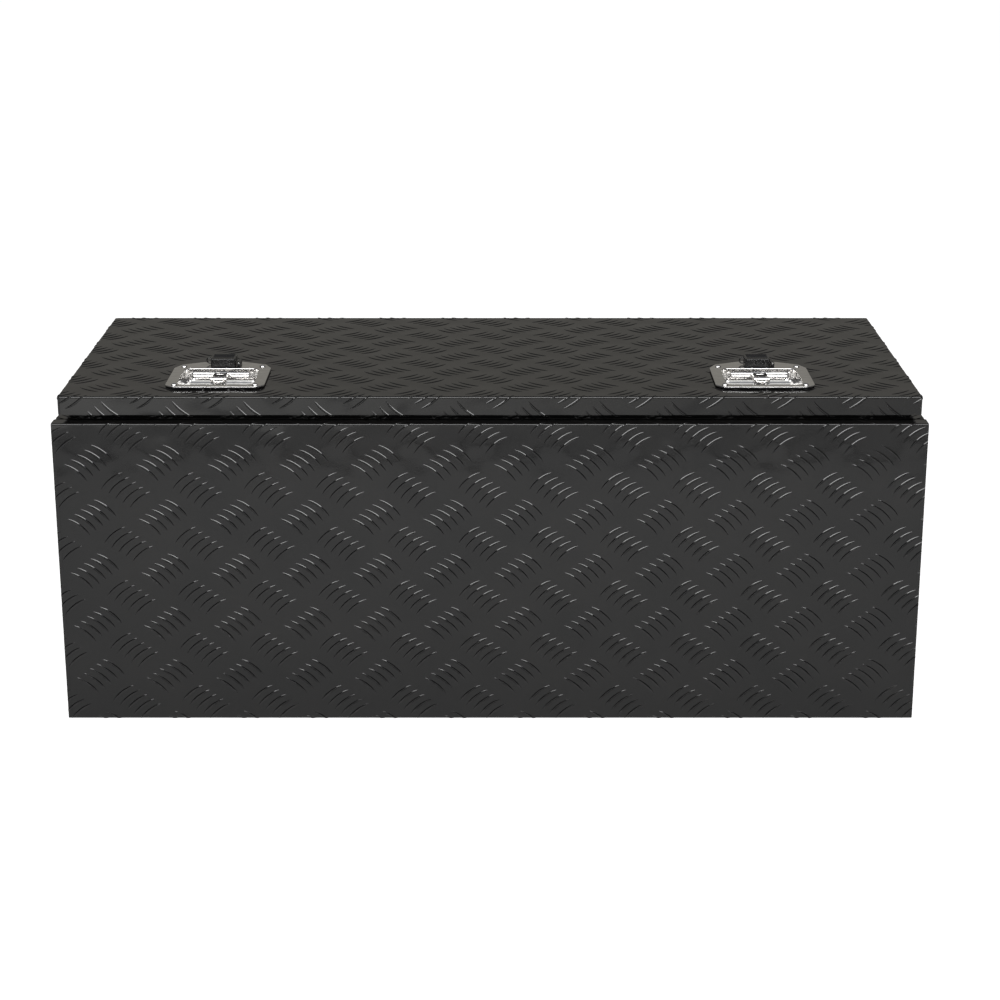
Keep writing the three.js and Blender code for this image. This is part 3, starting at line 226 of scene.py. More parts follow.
# Struts
STRUT_X = 566 * MM
BODY_STUD = (158.447 * MM, 236.052 * MM)
LID_STUD = (-4.16 * MM, 464 * MM)
STRUT_ROD = 4 * MM
STRUT_EYE_RADIUS = 8 * MM
STRUT_EYE_HALF = 4.5 * MM
STRUT_BORE = 4.3 * MM
TUBE_RADIUS = 9 * MM
TUBE_BORE = 7.6 * MM
TUBE_MOUTH = 4.4 * MM
TUBE_NECK = 15 * MM
TUBE_SHOULDER = 21 * MM
TUBE_FLOOR = 24 * MM
TUBE_GLAND = 9 * MM
TUBE_GROOVE_IN = 8 * MM
PISTON_LENGTH = 8 * MM
PISTON_RADIUS = 7.2 * MM
ROD_SIDES = 32
STRUT_EYE_SIDES = 36

# Camera and studio
SENSOR = 36
LENS = 75.70
CAMERA_SPOT = (0.0141, -3.0387, 1.2762)
CAMERA_PITCH = math.radians(16.29)
CAMERA_SHIFT = -0.0852
FLOOR_HALF = 12
FLOOR_DROP = 0.5 * MM
FLOOR_COLOUR = 0.72
FLOOR_GLOW = 0.03
FLOOR_WHITE = 0.8
WALL_RADIUS = 6
WALL_SIDES = 48
WALL_LOW = -0.4
WALL_HIGH = 3.6
WALL_BACK = (0.226, 0.218, 0.200, 1)
WALL_FRONT = (0.07, 0.07, 0.075, 1)
CEILING_EDGE = (0.12, 0.12, 0.125, 1)
CEILING_TOP = (0.3, 0.31, 0.33, 1)
CEILING_HIGH = 9
CEILING_HOLE = 0.01
CEILING_DIM = 5.5
CEILING_BRIGHT = 8.0
SEAM_Y = -1.52
SEAM_WIDTH = 0.024
SEAM_COLOUR = (0.1, 0.1, 0.1, 1)
NEAR_COLOUR = (0.71, 0.71, 0.71, 1)
FAR_LEFT = (1.42, 1.42, 1.39, 1)
FAR_RIGHT = (0.76, 0.76, 0.75, 1)
FAR_Y = -1.77
FAR_HALF = 1.1
SHEEN_COLOUR = (0.95, 0.95, 0.93, 1)
SHEEN_HALF = 1.0
SHEEN_LOW = (-3.2, 1.9)
SHEEN_HIGH = (-0.8, 3.0)
CARD_COLOUR = (1.6, 1.6, 1.6, 1)
CARD_SPAN = (-2.2, 0.2)
CARD_LOW = (2.6, 3.6)
CARD_HIGH = (1.1, 4.6)
BEHIND_Y = 0.28
BESIDE_X = (0.65, 1.05)
AMBIENT = 0.3
KEY_SPOT = (0, -1.7, 2.0)
KEY_AIM = (0, -0.1, 0.4)
KEY_SIZE = (3.8, 0.6)
KEY_POWER = 72

# Node helpers

def grey(level):
    return (level, level, level, 1)


def placed(name, data):
    thing = bpy.data.objects.new(name, data)
    bpy.context.scene.collection.objects.link(thing)
    return thing


def new_material(name):
    material = bpy.data.materials.new(name)
    material.use_nodes = True
    return material


class Graph:
    """A node tree, with short ways to add nodes and sums to it."""

    def __init__(self, tree):
        self.tree = tree
        tree.nodes.clear()

    def add(self, kind, inputs=None, **settings):
        node = self.tree.nodes.new(kind)
        for name, value in settings.items():
            setattr(node, name, value)
        for key, value in (inputs or {}).items():
            if isinstance(value, bpy.types.NodeSocket):
                self.tree.links.new(value, node.inputs[key])
            else:
                node.inputs[key].default_value = value
        return node.outputs

    def sum(self, operation, *values):
        return self.add("ShaderNodeMath", dict(enumerate(values)), operation=operation)[0]

    def plus(self, first, second):
        return self.sum("ADD", first, second)

    def less(self, first, second):
        return self.sum("SUBTRACT", first, second)

    def times(self, first, *others):
        for other in others:
            first = self.sum("MULTIPLY", first, other)
        return first

    def vector(self, x=0.0, y=0.0, z=0.0):
        return self.add("ShaderNodeCombineXYZ", {"X": x, "Y": y, "Z": z})[0]

    def axes(self, place):
        return self.add("ShaderNodeSeparateXYZ", {0: place})

    def object_place(self):
        return self.add("ShaderNodeTexCoord")["Object"]

    def span(self, value, low, high, start=0.3, end=0.7, **settings):
        return self.add("ShaderNodeMapRange", {
            "Value": value, "From Min": start, "From Max": end, "To Min": low, "To Max": high,
        }, **settings)["Result"]

    def shades(self, value, dark, light, start=0.35, end=0.65):
        ramp = self.tree.nodes.new("ShaderNodeValToRGB")
        self.tree.links.new(value, ramp.inputs["Fac"])
        first, last = ramp.color_ramp.elements
        first.position, first.color = start, dark
        last.position, last.color = end, light
        return ramp.outputs["Color"]

    def surface(self, shader, output="ShaderNodeOutputMaterial"):
        self.add(output, {"Surface": shader})


class Finish(Graph):
    """A material on Object coordinates, with helpers for its noises and bumps."""

    def __init__(self, name):
        self.material = new_material(name)
        super().__init__(self.material.node_tree)
        self.place = self.object_place()

    def stretched(self, scale):
        return self.add("ShaderNodeMapping", {"Vector": self.place, "Scale": scale})["Vector"]

    def noise(self, scale, detail=3.0, roughness=0.5, place=None):
        return self.add("ShaderNodeTexNoise", {
            "Vector": place or self.place, "Scale": scale, "Detail": detail,
            "Roughness": roughness,
        })["Fac"]

    def bump(self, height, distance, after=None):
        inputs = {"Height": height, "Distance": distance, "Strength": 1.0}
        if after:
            inputs["Normal"] = after
        return self.add("ShaderNodeBump", inputs)["Normal"]

    def done(self, **inputs):
        named = {name.replace("_", " "): value for name, value in inputs.items()}
        self.surface(self.add("ShaderNodeBsdfPrincipled", named)["BSDF"])
        return self.material


def powder_coat():
    """Gloss black powder over tread plate: fine orange peel on a gently wavy sheet."""
    coat = Finish("powder_coat")
    peel = coat.bump(coat.noise(420, 2), 0.00001)
    return coat.done(
        IOR=1.5,
        Base_Color=coat.shades(coat.noise(9, 4), grey(0.0042), (0.0068, 0.0065, 0.0062, 1)),
        Roughness=coat.span(coat.noise(30, 5), 0.05, 0.09),
        Normal=coat.bump(coat.noise(22, 1.0), 0.0005, coat.bump(swelling(coat), SWELL, peel)))


def swelling(coat):
    """The pressed sheet swells a little at every group of bars."""
    along, across, up = coat.axes(coat.place)
    waves = []
    for place, middle, cell in ((along, FRONT_PHASE.x, CELL_ALONG),
                                (coat.plus(across, up), FRONT_PHASE.y - BODY_HALF_Y,
                                 CELL_ACROSS)):
        turn = math.tau / cell
        waves.append(coat.sum("COSINE", coat.sum("MULTIPLY_ADD", place, turn, -middle * turn)))
    return coat.times(*waves)


def polished_steel():
    """Pressed stainless steel, bright, with faint rub marks."""
    steel = Finish("polished_steel")
    rub = steel.noise(60, 5, 0.6, steel.stretched((1, 3, 1)))
    return steel.done(
        Metallic=1.0,
        Base_Color=steel.shades(rub, (0.76, 0.75, 0.735, 1), (0.88, 0.87, 0.86, 1)),
        Roughness=steel.span(rub, 0.06, 0.13),
        Normal=steel.bump(steel.noise(120, 1), 0.000003))


def hinge_steel():
    """Mill-finish hinge strip, brushed along its length."""
    steel = Finish("hinge_steel")
    brush = steel.noise(500, 3, 0.6, steel.stretched((0.02, 1, 1)))
    return steel.done(
        Metallic=1.0,
        Base_Color=steel.shades(brush, grey(0.42), grey(0.55)),
        Roughness=steel.span(brush, 0.25, 0.4),
        Normal=steel.bump(brush, 0.00002))


def bright_zinc():
    """Zinc plating with its faint spangle."""
    zinc = Finish("bright_zinc")
    spangle = zinc.add("ShaderNodeTexVoronoi", {"Vector": zinc.place, "Scale": 260.0})["Distance"]
    return zinc.done(
        Metallic=1.0,
        Base_Color=zinc.shades(spangle, (0.55, 0.56, 0.58, 1), (0.66, 0.67, 0.66, 1), 0.1, 0.7),
        Roughness=zinc.span(zinc.noise(120, 4), 0.25, 0.42),
        Normal=zinc.bump(spangle, 0.00002))


def black_steel():
    """Satin black enamel on the strut tubes."""
    enamel = Finish("black_steel")
    return enamel.done(
        Base_Color=enamel.shades(enamel.noise(40, 4), grey(0.006), grey(0.011)),
        Roughness=enamel.span(enamel.noise(90, 4), 0.22, 0.36),
        Normal=enamel.bump(enamel.noise(600, 2), 0.00001))


def black_rubber():
    """Moulded rubber with a dusty bloom."""
    rubber = Finish("black_rubber")
    return rubber.done(
        Specular_IOR_Level=0.4,
        Base_Color=rubber.shades(rubber.noise(70, 5), grey(0.008), grey(0.014)),
        Roughness=rubber.span(rubber.noise(150, 4), 0.18, 0.3),
        Normal=rubber.bump(rubber.noise(1400, 2), 0.000008))


def brass():
    """Turned brass lock plug, slightly tarnished."""
    plug = Finish("brass")
    ring = plug.noise(200, 4)
    return plug.done(
        Metallic=1.0,
        Base_Color=plug.shades(ring, (0.46, 0.33, 0.12, 1), (0.62, 0.47, 0.21, 1)),
        Roughness=plug.span(ring, 0.22, 0.4),
        Normal=plug.bump(ring, 0.00002))


# Mesh helpers

def mesh_of(name, bm, material):
    mesh = bpy.data.meshes.new(name)
    bm.to_mesh(mesh)
    bm.free()
    mesh.materials.append(material)
    return mesh


def new_piece(name, bm, body, slot, replaces=(), smooth_angle=35):
    """A finished piece: smooth where it is rounded, sharp past an angle in degrees."""
    mesh = mesh_of(name, bm, FINISHES[slot])
    mesh.polygons.foreach_set("use_smooth", [True] * len(mesh.polygons))
    mesh.set_sharp_from_angle(angle=math.radians(smooth_angle))
    piece = placed(name, mesh)
    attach(piece, body)
    if replaces:
        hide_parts(*replaces)


def finished(node, bm, body, slot):
    """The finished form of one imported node."""
    new_piece(f"{node}_finished", outward(bm), body, slot, [node])


def tread_piece(name, body, *parts):
    new_piece(name, merged(*parts), body, "powder_coat", smooth_angle=BAR_SMOOTH)


def outward(bm):
    bmesh.ops.remove_doubles(bm, verts=bm.verts, dist=TOUCHING)
    bmesh.ops.recalc_face_normals(bm, faces=bm.faces)
    return bm


def merged(*parts):
    """Several bmeshes as one."""
    whole = parts[0]
    for part in parts[1:]:
        spare = bpy.data.meshes.new("spare")
        part.to_mesh(spare)
        whole.from_mesh(spare)
        part.free()
        bpy.data.meshes.remove(spare)
    return whole


def add_ring(bm, points):
    return [bm.verts.new(point) for point in points]


def pairs(ring):
    return zip(ring, ring[1:] + ring[:1])


def bridge(bm, near, far):
    for (a, b), (c, d) in zip(pairs(near), pairs(far)):
        bm.faces.new((a, b, d, c))


def join(bm, rings):
    for near, far in zip(rings, rings[1:]):
        bridge(bm, near, far)
    return rings


def shell(bm, rows, spot=Vector()):
    """A ring for each flat outline and its height, joined one to the next."""
    return join(bm, [add_ring(bm, [spot + Vector((*point, height)) for point in outline])
                     for outline, height in rows])


def fill_between(bm, *rings):
    """Flat faces between an outline and the holes inside it."""
    edges = [bm.edges.get(pair) or bm.edges.new(pair) for ring in rings for pair in pairs(ring)]
    bmesh.ops.triangle_fill(bm, edges=edges, use_beauty=True)


def quarter(steps):
    """Steps round a quarter turn, as 1 - cos and 1 - sin."""
    for step in range(steps + 1):
        angle = math.pi / 2 * step / steps
        yield 1 - math.cos(angle), 1 - math.sin(angle)


def bend_rows(outline, edge, inwards, level, rise, steps):
    """Rows round a quarter bend: the inset given to `outline` leaves `edge`, and the height
    ends at `level`."""
    return [(outline(edge + inwards * near), level + rise * far) for near, far in quarter(steps)]


def rim_rows(low, high, edge):
    """(inset, height) of each row of a slab's rim, rounded above and below."""
    rows = [(edge * inset, low + edge * rise) for rise, inset in quarter(RIM_STEPS)]
    return rows + [(inset, low + high - height) for inset, height in reversed(rows)]


def slab(bm, loops, low, high, edge, spot):
    """A flat piece with rounded rims. Each loop gives an outline for an inset into the piece."""
    level = edge + EDGE_STRIP
    rows = [(level, low), *rim_rows(low, high, edge), (level, high)]
    walls = [shell(bm, [(loop(inset), height) for inset, height in rows], spot) for loop in loops]
    for last in (0, -1):
        fill_between(bm, *[rings[last] for rings in walls])


def arc_points(centre, radius, start, sweep, steps):
    for step in range(steps + 1):
        angle = start + sweep * step / steps
        yield Vector((centre[0] + radius * math.cos(angle), centre[1] + radius * math.sin(angle)))


def circle(radius, count, centre=(0, 0)):
    return list(arc_points(centre, radius, 0, math.tau, count))[:-1]


def rounded_rectangle(half_x, half_y, corner, steps=8, strip=0.0):
    """Outline of a rectangle with round corners, with extra points a strip away from each."""
    points = []
    for quadrant, (sign_x, sign_y) in enumerate(((1, 1), (-1, 1), (-1, -1), (1, -1))):
        centre = (sign_x * (half_x - corner), sign_y * (half_y - corner))
        start = quadrant * math.pi / 2
        bend = list(arc_points(centre, corner, start, math.pi / 2, steps))
        if strip:
            way = Vector((math.sin(start), -math.cos(start)))
            bend = [bend[0] + way * strip] + bend + [bend[-1] - way.orthogonal() * strip]
        points += bend
    return points


def lathe(bm, profile, count, turn):
    """Turns a closed or axis-to-axis profile of (radius, along) about +Z, then places it."""
    rings = [add_ring(bm, [turn @ Vector((*p, along))
                           for p in (circle(radius, count) if radius > TINY else [(0, 0)])])
             for radius, along in profile]
    for near, far in zip(rings, rings[1:]):
        if len(near) == len(far):
            bridge(bm, near, far)
        else:
            tip, ring = (near[0], far) if len(near) == 1 else (far[0], near)
            for a, b in pairs(ring):
                bm.faces.new((tip, a, b))


# A folded sheet's outer face, seen in section

class Fold:
    """The outer face of a folded sheet as lines and arcs, measured along the face.

    The corners are those of the raised tread; the face lies one bar height inside them,
    on the left of the direction of travel."""

    def __init__(self, corners):
        points = [Vector(corner) for corner in corners]
        ways = [(b - a).normalized() for a, b in zip(points, points[1:])]
        lefts = [Vector((-way.y, way.x)) for way in ways]
        self.parts = []
        self.creases = []
        along = 0.0
        start = points[0] + lefts[0] * BAR_HEIGHT
        for index, way in enumerate(ways):
            end = points[index + 1] + lefts[index] * BAR_HEIGHT
            bends = index < len(ways) - 1
            if bends:
                mitre = (lefts[index] + lefts[index + 1]).normalized()
                corner = points[index + 1] + mitre * (BAR_HEIGHT / mitre.dot(lefts[index]))
                side = 1 if way.cross(ways[index + 1]) > 0 else -1
                radius = FOLD_INSIDE + (PLATE if side > 0 else BAR_HEIGHT)
                end = corner - way * radius
            length = (end - start).length
            self.parts.append(("line", along, along + length, start, way))
            along += length
            if bends:
                centre = end + lefts[index] * radius * side
                first = end - centre
                length = radius * math.pi / 2
                self.parts.append(("arc", along, along + length, centre,
                                   (radius, math.atan2(first.y, first.x), side)))
                self.creases += [along + length * cut / BEND_CUTS for cut in range(BEND_CUTS + 1)]
                along += length
                start = corner + ways[index + 1] * radius
        self.length = along

    def at(self, along, height=0.0):
        """The point at a distance along the face, raised from it."""
        for kind, begin, end, origin, shape in self.parts:
            if along <= end or end >= self.length - TINY:
                if kind == "line":
                    outwards = Vector((shape.y, -shape.x))
                    return origin + shape * (along - begin) + outwards * height
                radius, angle, side = shape
                angle += side * (along - begin) / radius
                reach = radius + height * side
                return origin + Vector((math.cos(angle), math.sin(angle))) * reach
        raise ValueError("past the sheet's edge")

    def stations(self):
        """Distances at which the sheet needs a row of vertices."""
        marks = [0.0]
        for kind, begin, end, _, _ in self.parts:
            if kind == "line":
                marks += [begin + EDGE_STRIP, end - EDGE_STRIP, end]
            else:
                marks += [begin + (end - begin) * step / FOLD_STEPS
                          for step in range(1, FOLD_STEPS + 1)]
        return marks


def folded_sheet(fold, reach, place):
    """The sheet itself. `reach(mark)` is its half length there, and `place(run, point)` sets it."""
    bm = bmesh.new()
    marks = fold.stations()
    outer = [fold.at(mark) for mark in marks]
    inner = [fold.at(mark, -PLATE) for mark in marks]
    rows = []
    for side, inset in ((DOWN, 0), (DOWN, EDGE_STRIP), (UP, EDGE_STRIP), (UP, 0)):
        runs = [side * (reach(mark) - inset) for mark in marks]
        loop = add_ring(bm, [place(run, point) for run, point in zip(runs, outer)])
        loop += reversed(add_ring(bm, [place(run, point) for run, point in zip(runs, inner)]))
        rows.append(loop)
    join(bm, rows)
    last = len(marks) - 1
    for loop in (rows[0], rows[-1]):
        for index in range(last):
            bm.faces.new((loop[index], loop[-1 - index], loop[-2 - index], loop[index + 1]))
    return bm


def cut_away(bm, low, high):
    """Keeps what lies inside a box and closes each cut. Nothing is cut where a bound is None."""
    for axis, bounds in enumerate(zip(low, high)):
        for bound, sign in zip(bounds, (DOWN, UP)):
            if bound is None:
                continue
            normal = Vector()
            normal[axis] = sign
            cut = bmesh.ops.bisect_plane(
                bm, geom=bm.verts[:] + bm.edges[:] + bm.faces[:], plane_co=normal * sign * bound,
                plane_no=normal, clear_outer=True, dist=TOUCHING)
            edges = [item for item in cut["geom_cut"] if isinstance(item, bmesh.types.BMEdge)]
            bmesh.ops.holes_fill(bm, edges=edges, sides=0)


# Geometry Nodes trees

def growing_tree(name, inputs):
    """A tree with named sizes and a material as its inputs."""
    tree = bpy.data.node_groups.new(name, "GeometryNodeTree")
    sockets = tree.interface
    sockets.new_socket("Geometry", in_out="OUTPUT", socket_type="NodeSocketGeometry")
    for label, value in inputs.items():
        sockets.new_socket(label, in_out="INPUT",
                           socket_type="NodeSocketFloat").default_value = value
    sockets.new_socket("Material", in_out="INPUT", socket_type="NodeSocketMaterial")
    graph = Graph(tree)
    return graph, graph.add("NodeGroupInput")


def close_tree(graph, given, instances):
    whole = graph.add("GeometryNodeRealizeInstances", {"Geometry": instances})[0]
    dressed = graph.add("GeometryNodeSetMaterial", {
        "Geometry": whole, "Material": given["Material"]})[0]
    graph.add("NodeGroupOutput", {"Geometry": dressed})
    return graph.tree


def grown(tree, values):
    """The tree's result as a bmesh, for the given named inputs."""
    holder = placed("growing", bpy.data.meshes.new("growing"))
    modifier = holder.modifiers.new("grow", "NODES")
    modifier.node_group = tree
    for item in tree.interface.items_tree:
        if item.in_out == "INPUT" and item.name in values:
            modifier[item.identifier] = values[item.name]
    holder.update_tag()
    evaluated = holder.evaluated_get(bpy.context.evaluated_depsgraph_get())
    plain = bpy.data.meshes.new_from_object(evaluated)
    bm = bmesh.new()
    bm.from_mesh(plain)
    bpy.data.objects.remove(holder)
    bpy.data.meshes.remove(plain)
    return bm


# Tread bars

TREAD_INPUTS = {
    "Length": 1.2,
    "Width": 0.4,
    "Phase Along": 0.0,
    "Phase Across": 0.0,
    "Cell Along": CELL_ALONG,
    "Cell Across": CELL_ACROSS,
    "Bar Length": BAR_LENGTH,
    "Bar Width": BAR_WIDTH,
    "Bar Height": BAR_HEIGHT,
    "Bar Root": BAR_ROOT,
    "Bar Bow": BAR_BOW,
    "Bar Spacing": BAR_SPACING,
    "Bar Lean": BAR_LEAN,
    "Row Lean": ROW_LEAN,
}


def tread_tree():
    """Points in a chequer of groups, five bars a group, and an arched, tapered bar on each."""
    graph, given = growing_tree("tread_bars", TREAD_INPUTS)
    add, calc, plus, less = graph.add, graph.sum, graph.plus, graph.less
    times, vector = graph.times, graph.vector
    sizes, phases, cells = ([given[name] for name in names] for names in (
        ("Length", "Width"), ("Phase Along", "Phase Across"), ("Cell Along", "Cell Across")))

    # One point a cell, with spare cells round the panel
    counts = [plus(calc("CEIL", calc("DIVIDE", size, cell)), EDGE_CELLS)
              for size, cell in zip(sizes, cells)]
    spans = [times(less(count, 1.0), cell) for count, cell in zip(counts, cells)]
    lattice = add("GeometryNodeMeshGrid", {
        "Size X": spans[0], "Size Y": spans[1], "Vertices X": counts[0], "Vertices Y": counts[1],
    })["Mesh"]
    points = add("GeometryNodeMeshToPoints", {"Mesh": lattice})["Points"]

    # Cell points sit on multiples of the cell from the panel's origin, then move by the phase
    moves = [less(plus(times(span, 0.5), calc("MODULO", phase, cell)), cell)
             for span, phase, cell in zip(spans, phases, cells)]
    moved = add("GeometryNodeSetPosition", {"Geometry": points, "Offset": vector(*moves)})

    # Ten copies of each point: five for each lean
    copies = add("GeometryNodeDuplicateElements", {
        "Geometry": moved["Geometry"], "Amount": 2 * BARS_IN_GROUP}, domain="POINT")
    index = copies["Duplicate Index"]
    leans_back = calc("GREATER_THAN", index, BARS_IN_GROUP - 0.5)
    place = less(calc("MODULO", index, BARS_IN_GROUP), (BARS_IN_GROUP - 1) / 2)
    side = less(1.0, times(leans_back, 2.0))
    step = times(place, given["Bar Spacing"])
    rows = (times(step, calc("COSINE", given["Row Lean"])),
            times(step, side, calc("SINE", given["Row Lean"])))
    shifts = [plus(row, times(cell, 0.5, leans_back)) for row, cell in zip(rows, cells)]
    spread = add("GeometryNodeSetPosition", {
        "Geometry": copies["Geometry"], "Offset": vector(*shifts)})

    # Bars past the panel's edge are left out
    half = times(given["Bar Length"], 0.5)
    outside = []
    for spot, size in zip(graph.axes(add("GeometryNodeInputPosition")[0]), sizes):
        middle = times(size, 0.5)
        outside.append(calc("GREATER_THAN", calc("ABSOLUTE", less(spot, middle)),
                            plus(middle, half)))
    kept = add("GeometryNodeDeleteGeometry", {
        "Geometry": spread["Geometry"], "Selection": calc("MAXIMUM", *outside),
    }, domain="POINT")

    # The bar: an arched line with a bevelled section that shrinks to its ends
    arch = add("GeometryNodeCurveQuadraticBezier", {
        "Resolution": BAR_RINGS - 1, "Start": vector(times(half, -1.0)),
        "Middle": vector(0.0, times(given["Bar Bow"], 2.0)), "End": vector(half)})["Curve"]
    progress = add("GeometryNodeSplineParameter")["Factor"]
    from_middle = calc("ABSOLUTE", less(times(progress, 2.0), 1.0))
    fullness = less(1.0, calc("POWER", from_middle, BAR_TAPER))
    taper = plus(times(fullness, 1 - BAR_TIP), BAR_TIP)
    corners = add("GeometryNodeMeshCircle", {"Vertices": len(BAR_SECTION)})["Mesh"]
    corner = add("GeometryNodeInputIndex")[0]
    width_share, height_share = 0.0, 0.0
    for number, (across, rise) in enumerate(BAR_SECTION):
        chosen = add("FunctionNodeCompare", {2: corner, 3: number},
                     data_type="INT", operation="EQUAL")[0]
        width_share = plus(width_share, times(chosen, across))
        scale = given["Bar Root"] if rise < 0 else given["Bar Height"]
        height_share = plus(height_share, times(chosen, times(scale, rise)))
    shaped = add("GeometryNodeSetPosition", {
        "Geometry": corners,
        "Position": vector(times(width_share, given["Bar Width"]), times(height_share, -1.0))})
    section = add("GeometryNodeMeshToCurve", {"Mesh": shaped["Geometry"]})["Curve"]
    bar = add("GeometryNodeCurveToMesh", {
        "Curve": arch, "Profile Curve": section, "Scale": taper, "Fill Caps": True})["Mesh"]

    # A bar on every point, leaning with its group
    bars = add("GeometryNodeInstanceOnPoints", {
        "Points": kept["Geometry"], "Instance": bar,
        "Rotation": vector(0.0, 0.0, times(side, -1.0, given["Bar Lean"]))})
    return close_tree(graph, given, bars[0])


def lay_tread(fold, runs, span, phase, place, climbs, cell=(CELL_ALONG, CELL_ACROSS),
              bow=BAR_BOW):
    """Bars over a span of a folded face, each bowed upwards, or downwards where `bow` is negative.

    `runs` are the ends along the fold, `climbs` says that the face is measured upwards, and
    `phase` is a group's place along the fold and above the span's lower end."""
    size = (runs[1] - runs[0], span[1] - span[0])
    bm = grown(TREAD, {
        "Length": size[0],
        "Width": size[1],
        "Phase Along": phase[0] - runs[0] + SPARE_CELLS * cell[0],
        "Phase Across": phase[1] + SPARE_CELLS * cell[1],
        "Cell Along": cell[0],
        "Cell Across": cell[1],
        "Bar Bow": bow,
        "Material": FINISHES["powder_coat"],
    })
    cut_away(bm, (0.0, 0.0, None), (*size, None))
    for crease in fold.creases:
        across = crease - span[0] if climbs else span[1] - crease
        near = [face for face in bm.faces
                if abs(face.calc_center_median().y - across) < BAR_LENGTH / 2]
        if near:
            verts = {vertex for face in near for vertex in face.verts}
            edges = {edge for face in near for edge in face.edges}
            bmesh.ops.bisect_plane(bm, geom=list(verts) + list(edges) + near,
                                   plane_co=(0, across, 0), plane_no=(0, 1, 0), dist=TOUCHING)
    for vertex in bm.verts:
        run, across, height = vertex.co
        along = span[0] + across if climbs else span[1] - across
        vertex.co = place(run + runs[0], fold.at(along, height))
    return outward(bm)


# Body

def across_the_chest(run, point):
    """Places a section that lies in the Y-Z plane."""
    return Vector((run, point.x, point.y))


def along_the_end(run, point):
    """Places a section that lies in the X-Z plane."""
    return Vector((point.x, run, point.y))


def body_wrap():
    """Front, floor and back in one sheet, with ledges and upstands."""
    upstand = BODY_HALF_Y - LEDGE_WIDTH + SHEET
    front = [(-upstand, UPSTAND_TOP), (-upstand, BODY_HEIGHT), (-BODY_HALF_Y, BODY_HEIGHT),
             (-BODY_HALF_Y, 0)]
    fold = Fold(front + [(-y, z) for y, z in reversed(front)])
    front_ledge = fold.parts[2][1]
    back_ledge = fold.parts[-3][2]
    short = BODY_HALF_X - LEDGE_WIDTH + SHEET

    def reach(mark):
        return BODY_HALF_X if front_ledge - TINY <= mark <= back_ledge + TINY else short

    sheet = folded_sheet(fold, reach, across_the_chest)
    new_piece("body_sheet", outward(sheet), "chest", "powder_coat", ["body_wrap"])

    middle = fold.length / 2
    _, wall_top, _, origin, _ = fold.parts[4]
    group_height = middle - wall_top - (origin.y - FRONT_PHASE.y)
    phase = (FRONT_PHASE.x, group_height)
    upstand_phase = (FRONT_PHASE.x, group_height - (middle - front_ledge))
    full, trimmed = (-BODY_HALF_X, BODY_HALF_X), (-short, short)
    for name, climbs, wall, rim in (
            ("tread_front", False, (front_ledge, middle), (0, front_ledge)),
            ("tread_back", True, (middle, back_ledge), (back_ledge, fold.length))):
        tread_piece(name, "chest",
                    lay_tread(fold, full, wall, phase, across_the_chest, climbs),
                    lay_tread(fold, trimmed, rim, upstand_phase, across_the_chest, climbs))


def end_panel(label, side):
    """An end panel between front and back, with its own ledge and upstand."""
    upstand = BODY_HALF_X - LEDGE_WIDTH + SHEET
    corners = [(side * x, z) for x, z in (
        (BODY_HALF_X, SHEET + SEAM_GAP), (BODY_HALF_X, BODY_HEIGHT),
        (upstand, BODY_HEIGHT), (upstand, UPSTAND_TOP))]
    climbs = side > 0
    fold = Fold(corners if climbs else corners[::-1])
    wall = (fold.parts[0] if climbs else fold.parts[-1])[1:3]
    wide = BODY_HALF_Y - SHEET - SEAM_GAP
    narrow = BODY_HALF_Y - LEDGE_WIDTH - SEAM_GAP

    def reach(mark):
        return wide if wall[0] - TINY <= mark <= wall[1] + TINY else narrow

    sheet = folded_sheet(fold, reach, along_the_end)
    new_piece(f"end_sheet_{label}", outward(sheet), "chest", "powder_coat",
              [f"{label}_end_panel"])

    phase = (0.0, FRONT_PHASE.y - SHEET - SEAM_GAP)
    upper = (wall[1], fold.length) if climbs else (0, wall[0])
    upper_phase = (0.0, phase[1] - (wall[1] - wall[0]))
    tread_piece(f"tread_end_{label}", "chest",
                lay_tread(fold, (-wide, wide), wall, phase, along_the_end, climbs),
                lay_tread(fold, (-narrow, narrow), upper, upper_phase, along_the_end, climbs))


# Lid

def lid_face(bm, inset, bend, top):
    """One face of the lid's sheet, from the skirt's foot over the fold to the flat top."""
    def outline(depth, corner=None):
        return rounded_rectangle(LID_HALF_X - depth, LID_HALF_Y - depth,
                                 corner or LID_CORNER - depth, LID_CORNER_STEPS, EDGE_STRIP)

    heights = (SKIRT_BOTTOM, SKIRT_BOTTOM + EDGE_STRIP, top - bend - EDGE_STRIP)
    return shell(bm, [
        *[(outline(inset), height) for height in heights],
        *bend_rows(outline, inset, bend, top, -bend, FOLD_STEPS),
        (outline(LID_FOLD + BAR_HEIGHT + EDGE_STRIP, LID_CORNER - inset - bend), top)])


def latch_openings(bm, height):
    """Pan, lock and screw holes of both latches at one level."""
    wall = PAN_WALL + PAN_CUT_GAP
    holes = [pan_outline(wall)] + [circle(*hole) for hole in plate_holes()]
    return [add_ring(bm, [(p[0] + side * LATCH_X, p[1] + LATCH_Y, height) for p in hole])
            for side in SIDES.values() for hole in holes]


